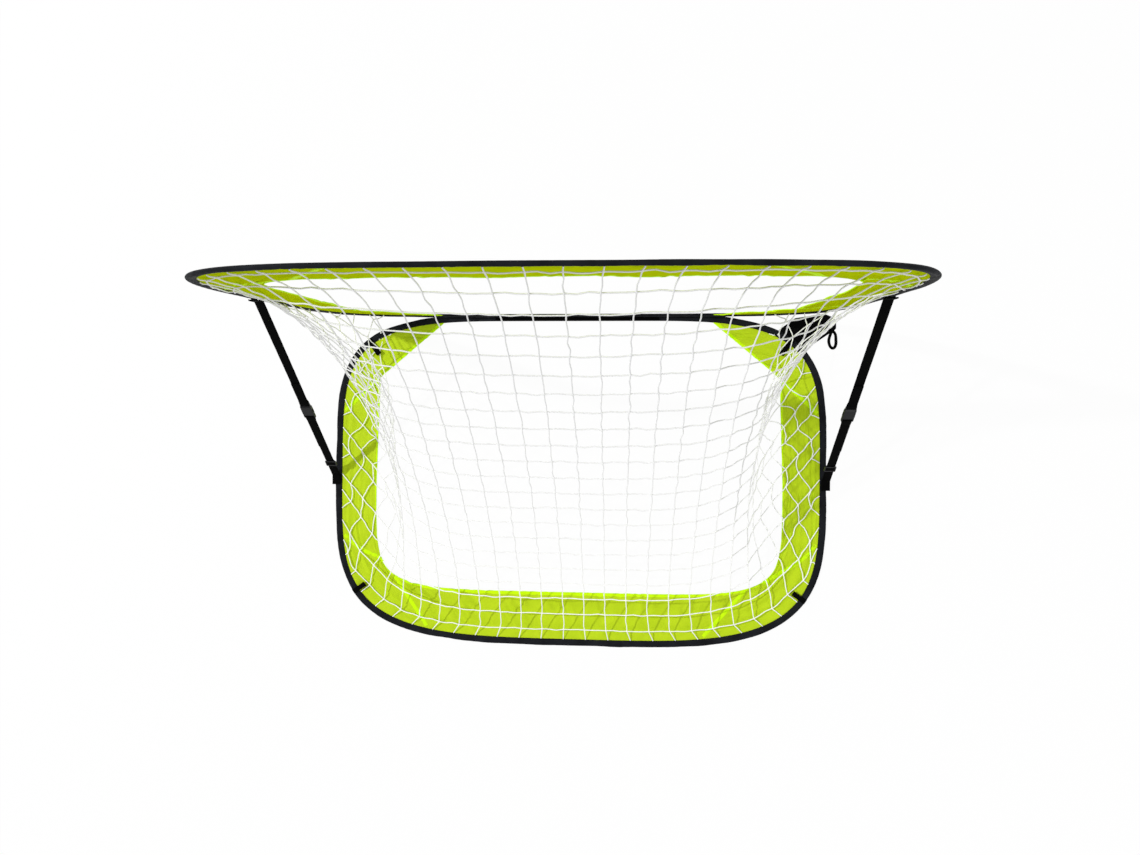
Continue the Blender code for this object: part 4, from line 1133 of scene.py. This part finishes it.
def make_flap():
    """Flap laid over the pouch's outer part, with its binding."""
    _, x, d, thick = pouch_grid(np.linspace(POUCH_FLAP_START, 1.0, 15))
    creases = ripples(x, d, 67, 0.014, 0.04, 9, TAU)
    middle = base_place(-x, d, POUCH_BASE + thick + 0.0017 + 0.0003 * creases)
    normal = surface_normals(middle)
    flap = add_piece("pouch_cover", slab(middle + normal * 0.0005, middle - normal * 0.0005), "pouch_cloth",
                     cloth_coords(x, d, 2), "base", "pouch_flap")
    fold = make_binding("pouch_cover_binding", middle[:, ::-1], normal[:, ::-1], arc(middle[:, 0]), 0.005,
                        "webbing", "base")
    length, width = [float(np.linalg.norm(np.diff(middle, axis=axis), axis=-1).sum(axis).max())
                     for axis in (0, 1)]


def make_pull_loop():
    """Narrow loop sewn on the flap's corner, lying out over the ground."""
    inner, outer = pouch_outline(9)
    root = outer[-1] + (inner[-1] - outer[-1]) * 0.12
    heading = np.array((0.08, 1.0)) / math.hypot(0.08, 1.0)
    across = np.array((heading[1], -heading[0]))
    breadth = (PULL_LOOP_BREADTH - PULL_LOOP_STRIP) / 2
    length = PULL_LOOP_LENGTH - PULL_LOOP_STRIP
    angle = TAU * np.arange(56) / 56
    share = (1 - np.cos(angle)) / 2
    swell = np.sin(angle) * breadth * (0.75 + 0.25 * np.sin(angle / 2) ** 2)
    here = root + heading * (length * share + 0.0012)[:, None] + across * swell[:, None]
    radial = unit(np.stack([-np.cos(angle) * breadth, np.sin(angle) * length / 2], -1))
    normal = heading * radial[:, 0:1] + across * radial[:, 1:2]
    low = 0.0006 + PULL_LOOP_RISE * (1 - smooth((share - 0.12) / 0.45))
    half = PULL_LOOP_STRIP / 2
    under = [(-half, 0.25), (-half + 0.0005, 0.0), (0.0, 0.06), (half - 0.0005, 0.0), (half, 0.25)]
    section = under + [(-side, 1 - lift) for side, lift in under]
    grid = []
    for side, lift in section:
        spot = here + normal * side
        curl = 0.0004 * np.cos(3 * angle + 1.0) * (side / half)
        height = low + lift * LOOP_THICKNESS + curl
        grid.append(base_place(-spot[:, 0], spot[:, 1], np.maximum(height, GAP)))
    faces = grid_faces(len(angle), len(section), 0, True, True)
    around = np.array([side + lift * LOOP_THICKNESS for side, lift in section])
    add_piece("pouch_loop", (np.stack(grid, 1).reshape(-1, 3), faces), "webbing",
              cloth_coords(arc(here)[:, None], around[None]), "base", "pouch_pull_loop")


def make_hinge_tape():
    """Bent strip behind the two hinge bars, sewn to both."""
    near, low = HINGE_SETBACK, SLEEVE_THICKNESS + GAP
    lean = math.sin(FACE_LEAN)
    line = [(HINGE_TAPE_LEG, GAP), (0.0048, GAP), (0.0025, GAP), (0.0010, GAP), (0.0004, 0.0005),
            (0.0001, 0.0011)] + [(0.0001 + lean * t, t) for t in (0.0025, 0.0048, HINGE_TAPE_LEG)]
    line = catmull([(near + along, low + rise) for along, rise in line])
    x = np.linspace(-HINGE_TAPE_LENGTH / 2, HINGE_TAPE_LENGTH / 2, 121)[:, None]
    layers = [base_place(x, *(line + line_normals(line) * HINGE_TAPE_HALF * sign).T) for sign in (-1, 1)]
    piece = add_piece("hinge_binding", slab(*layers), "webbing", cloth_coords(x, arc(line), 2), None,
                      "hinge_tape")
    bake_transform(piece)


# Stage

def make_floor():
    """White ground that glows to the camera and still takes shadows."""
    f = Finish("floor", (0.86, 0.86, 0.86), 0.9)
    path = f.add("LightPath")
    camera, glossy, through = [path.outputs[f"Is {ray} Ray"] for ray in ("Camera", "Glossy", "Transmission")]
    seen = f.math("MAXIMUM", f.math("MAXIMUM", camera, glossy), through)
    glow = f.add("Emission", {"Color": (1, 1, 1, 1), "Strength": 1.0})
    share = f.math("MULTIPLY", seen, 0.95)
    mixed = f.add("MixShader", {0: share, 1: f.shader.outputs[0], 2: glow.outputs[0]})
    f.tree.links.new(mixed.outputs[0], f.tree.nodes["Material Output"].inputs["Surface"])
    size, depth = 12.0, -0.0004
    corners = [(-size, -size, depth), (size, -size, depth), (size, size, depth), (-size, size, depth)]
    build_piece("floor", (np.array(corners), [(0, 1, 2, 3)]), f.material)


def make_world():
    """White all round, brighter to the camera than to the goal."""
    world = bpy.data.worlds.new("studio")
    bpy.context.scene.world = world
    nodes = Nodes(world)
    background = nodes.tree.nodes["Background"]
    nodes.put(background.inputs["Color"], (1, 1, 1, 1))
    seen = nodes.add("LightPath").outputs["Is Camera Ray"]
    nodes.put(background.inputs["Strength"], nodes.ramp(seen, 0.0, 1.0, 0.55, 1.0))


def make_lights():
    """A small key light on the +X side, out before the mouth, and a wide fill light across from it."""
    target = Vector((0, 0, 0.2))
    lights = (("key", (4.5, -1.4, 5.3), 0.20, 258.0), ("fill", (-2.4, 1.4, 2.8), 2.0, 32.0))
    for name, place, size, power in lights:
        light = bpy.data.lights.new(name, "AREA")
        light.size = size
        light.energy = power
        lamp = add_object(name, light)
        lamp.location = place
        lamp.rotation_euler = (Vector(place) - target).to_track_quat("Z", "Y").to_euler()


def make_camera():
    """Above the goal and a little behind the middle of its mouth, looking down."""
    right, up, forward = Vector((-1, 0, 0)), Vector((0, -1, 0)), Vector((0, 0, -1))
    turn = (Matrix.Rotation(0.0034, 3, right) @ Matrix.Rotation(0.0674, 3, up)
            @ Matrix.Rotation(-0.008, 3, forward))
    data = bpy.data.cameras.new("camera")
    data.sensor_width = 36.0
    data.lens = 22.966
    camera = add_object("camera", data)
    axes = Matrix((turn @ right, turn @ up, -(turn @ forward))).transposed()
    camera.matrix_world = Matrix.Translation((-0.1048, -0.1221, 1.78)) @ axes.to_4x4()
    bpy.context.scene.camera = camera


def main():
    make_camera()
    dress_nodes()
    make_sleeve("base", 3)
    make_sleeve("face", 13)
    make_border("base", "back", 100)
    make_border("face", "top", 300)
    make_net()
    make_straps()
    make_peg_loops()
    make_pouch()
    make_flap()
    make_pull_loop()
    make_hinge_tape()
    make_floor()
    make_world()
    make_lights()
    bpy.context.scene.view_settings.view_transform = "Standard"


main()
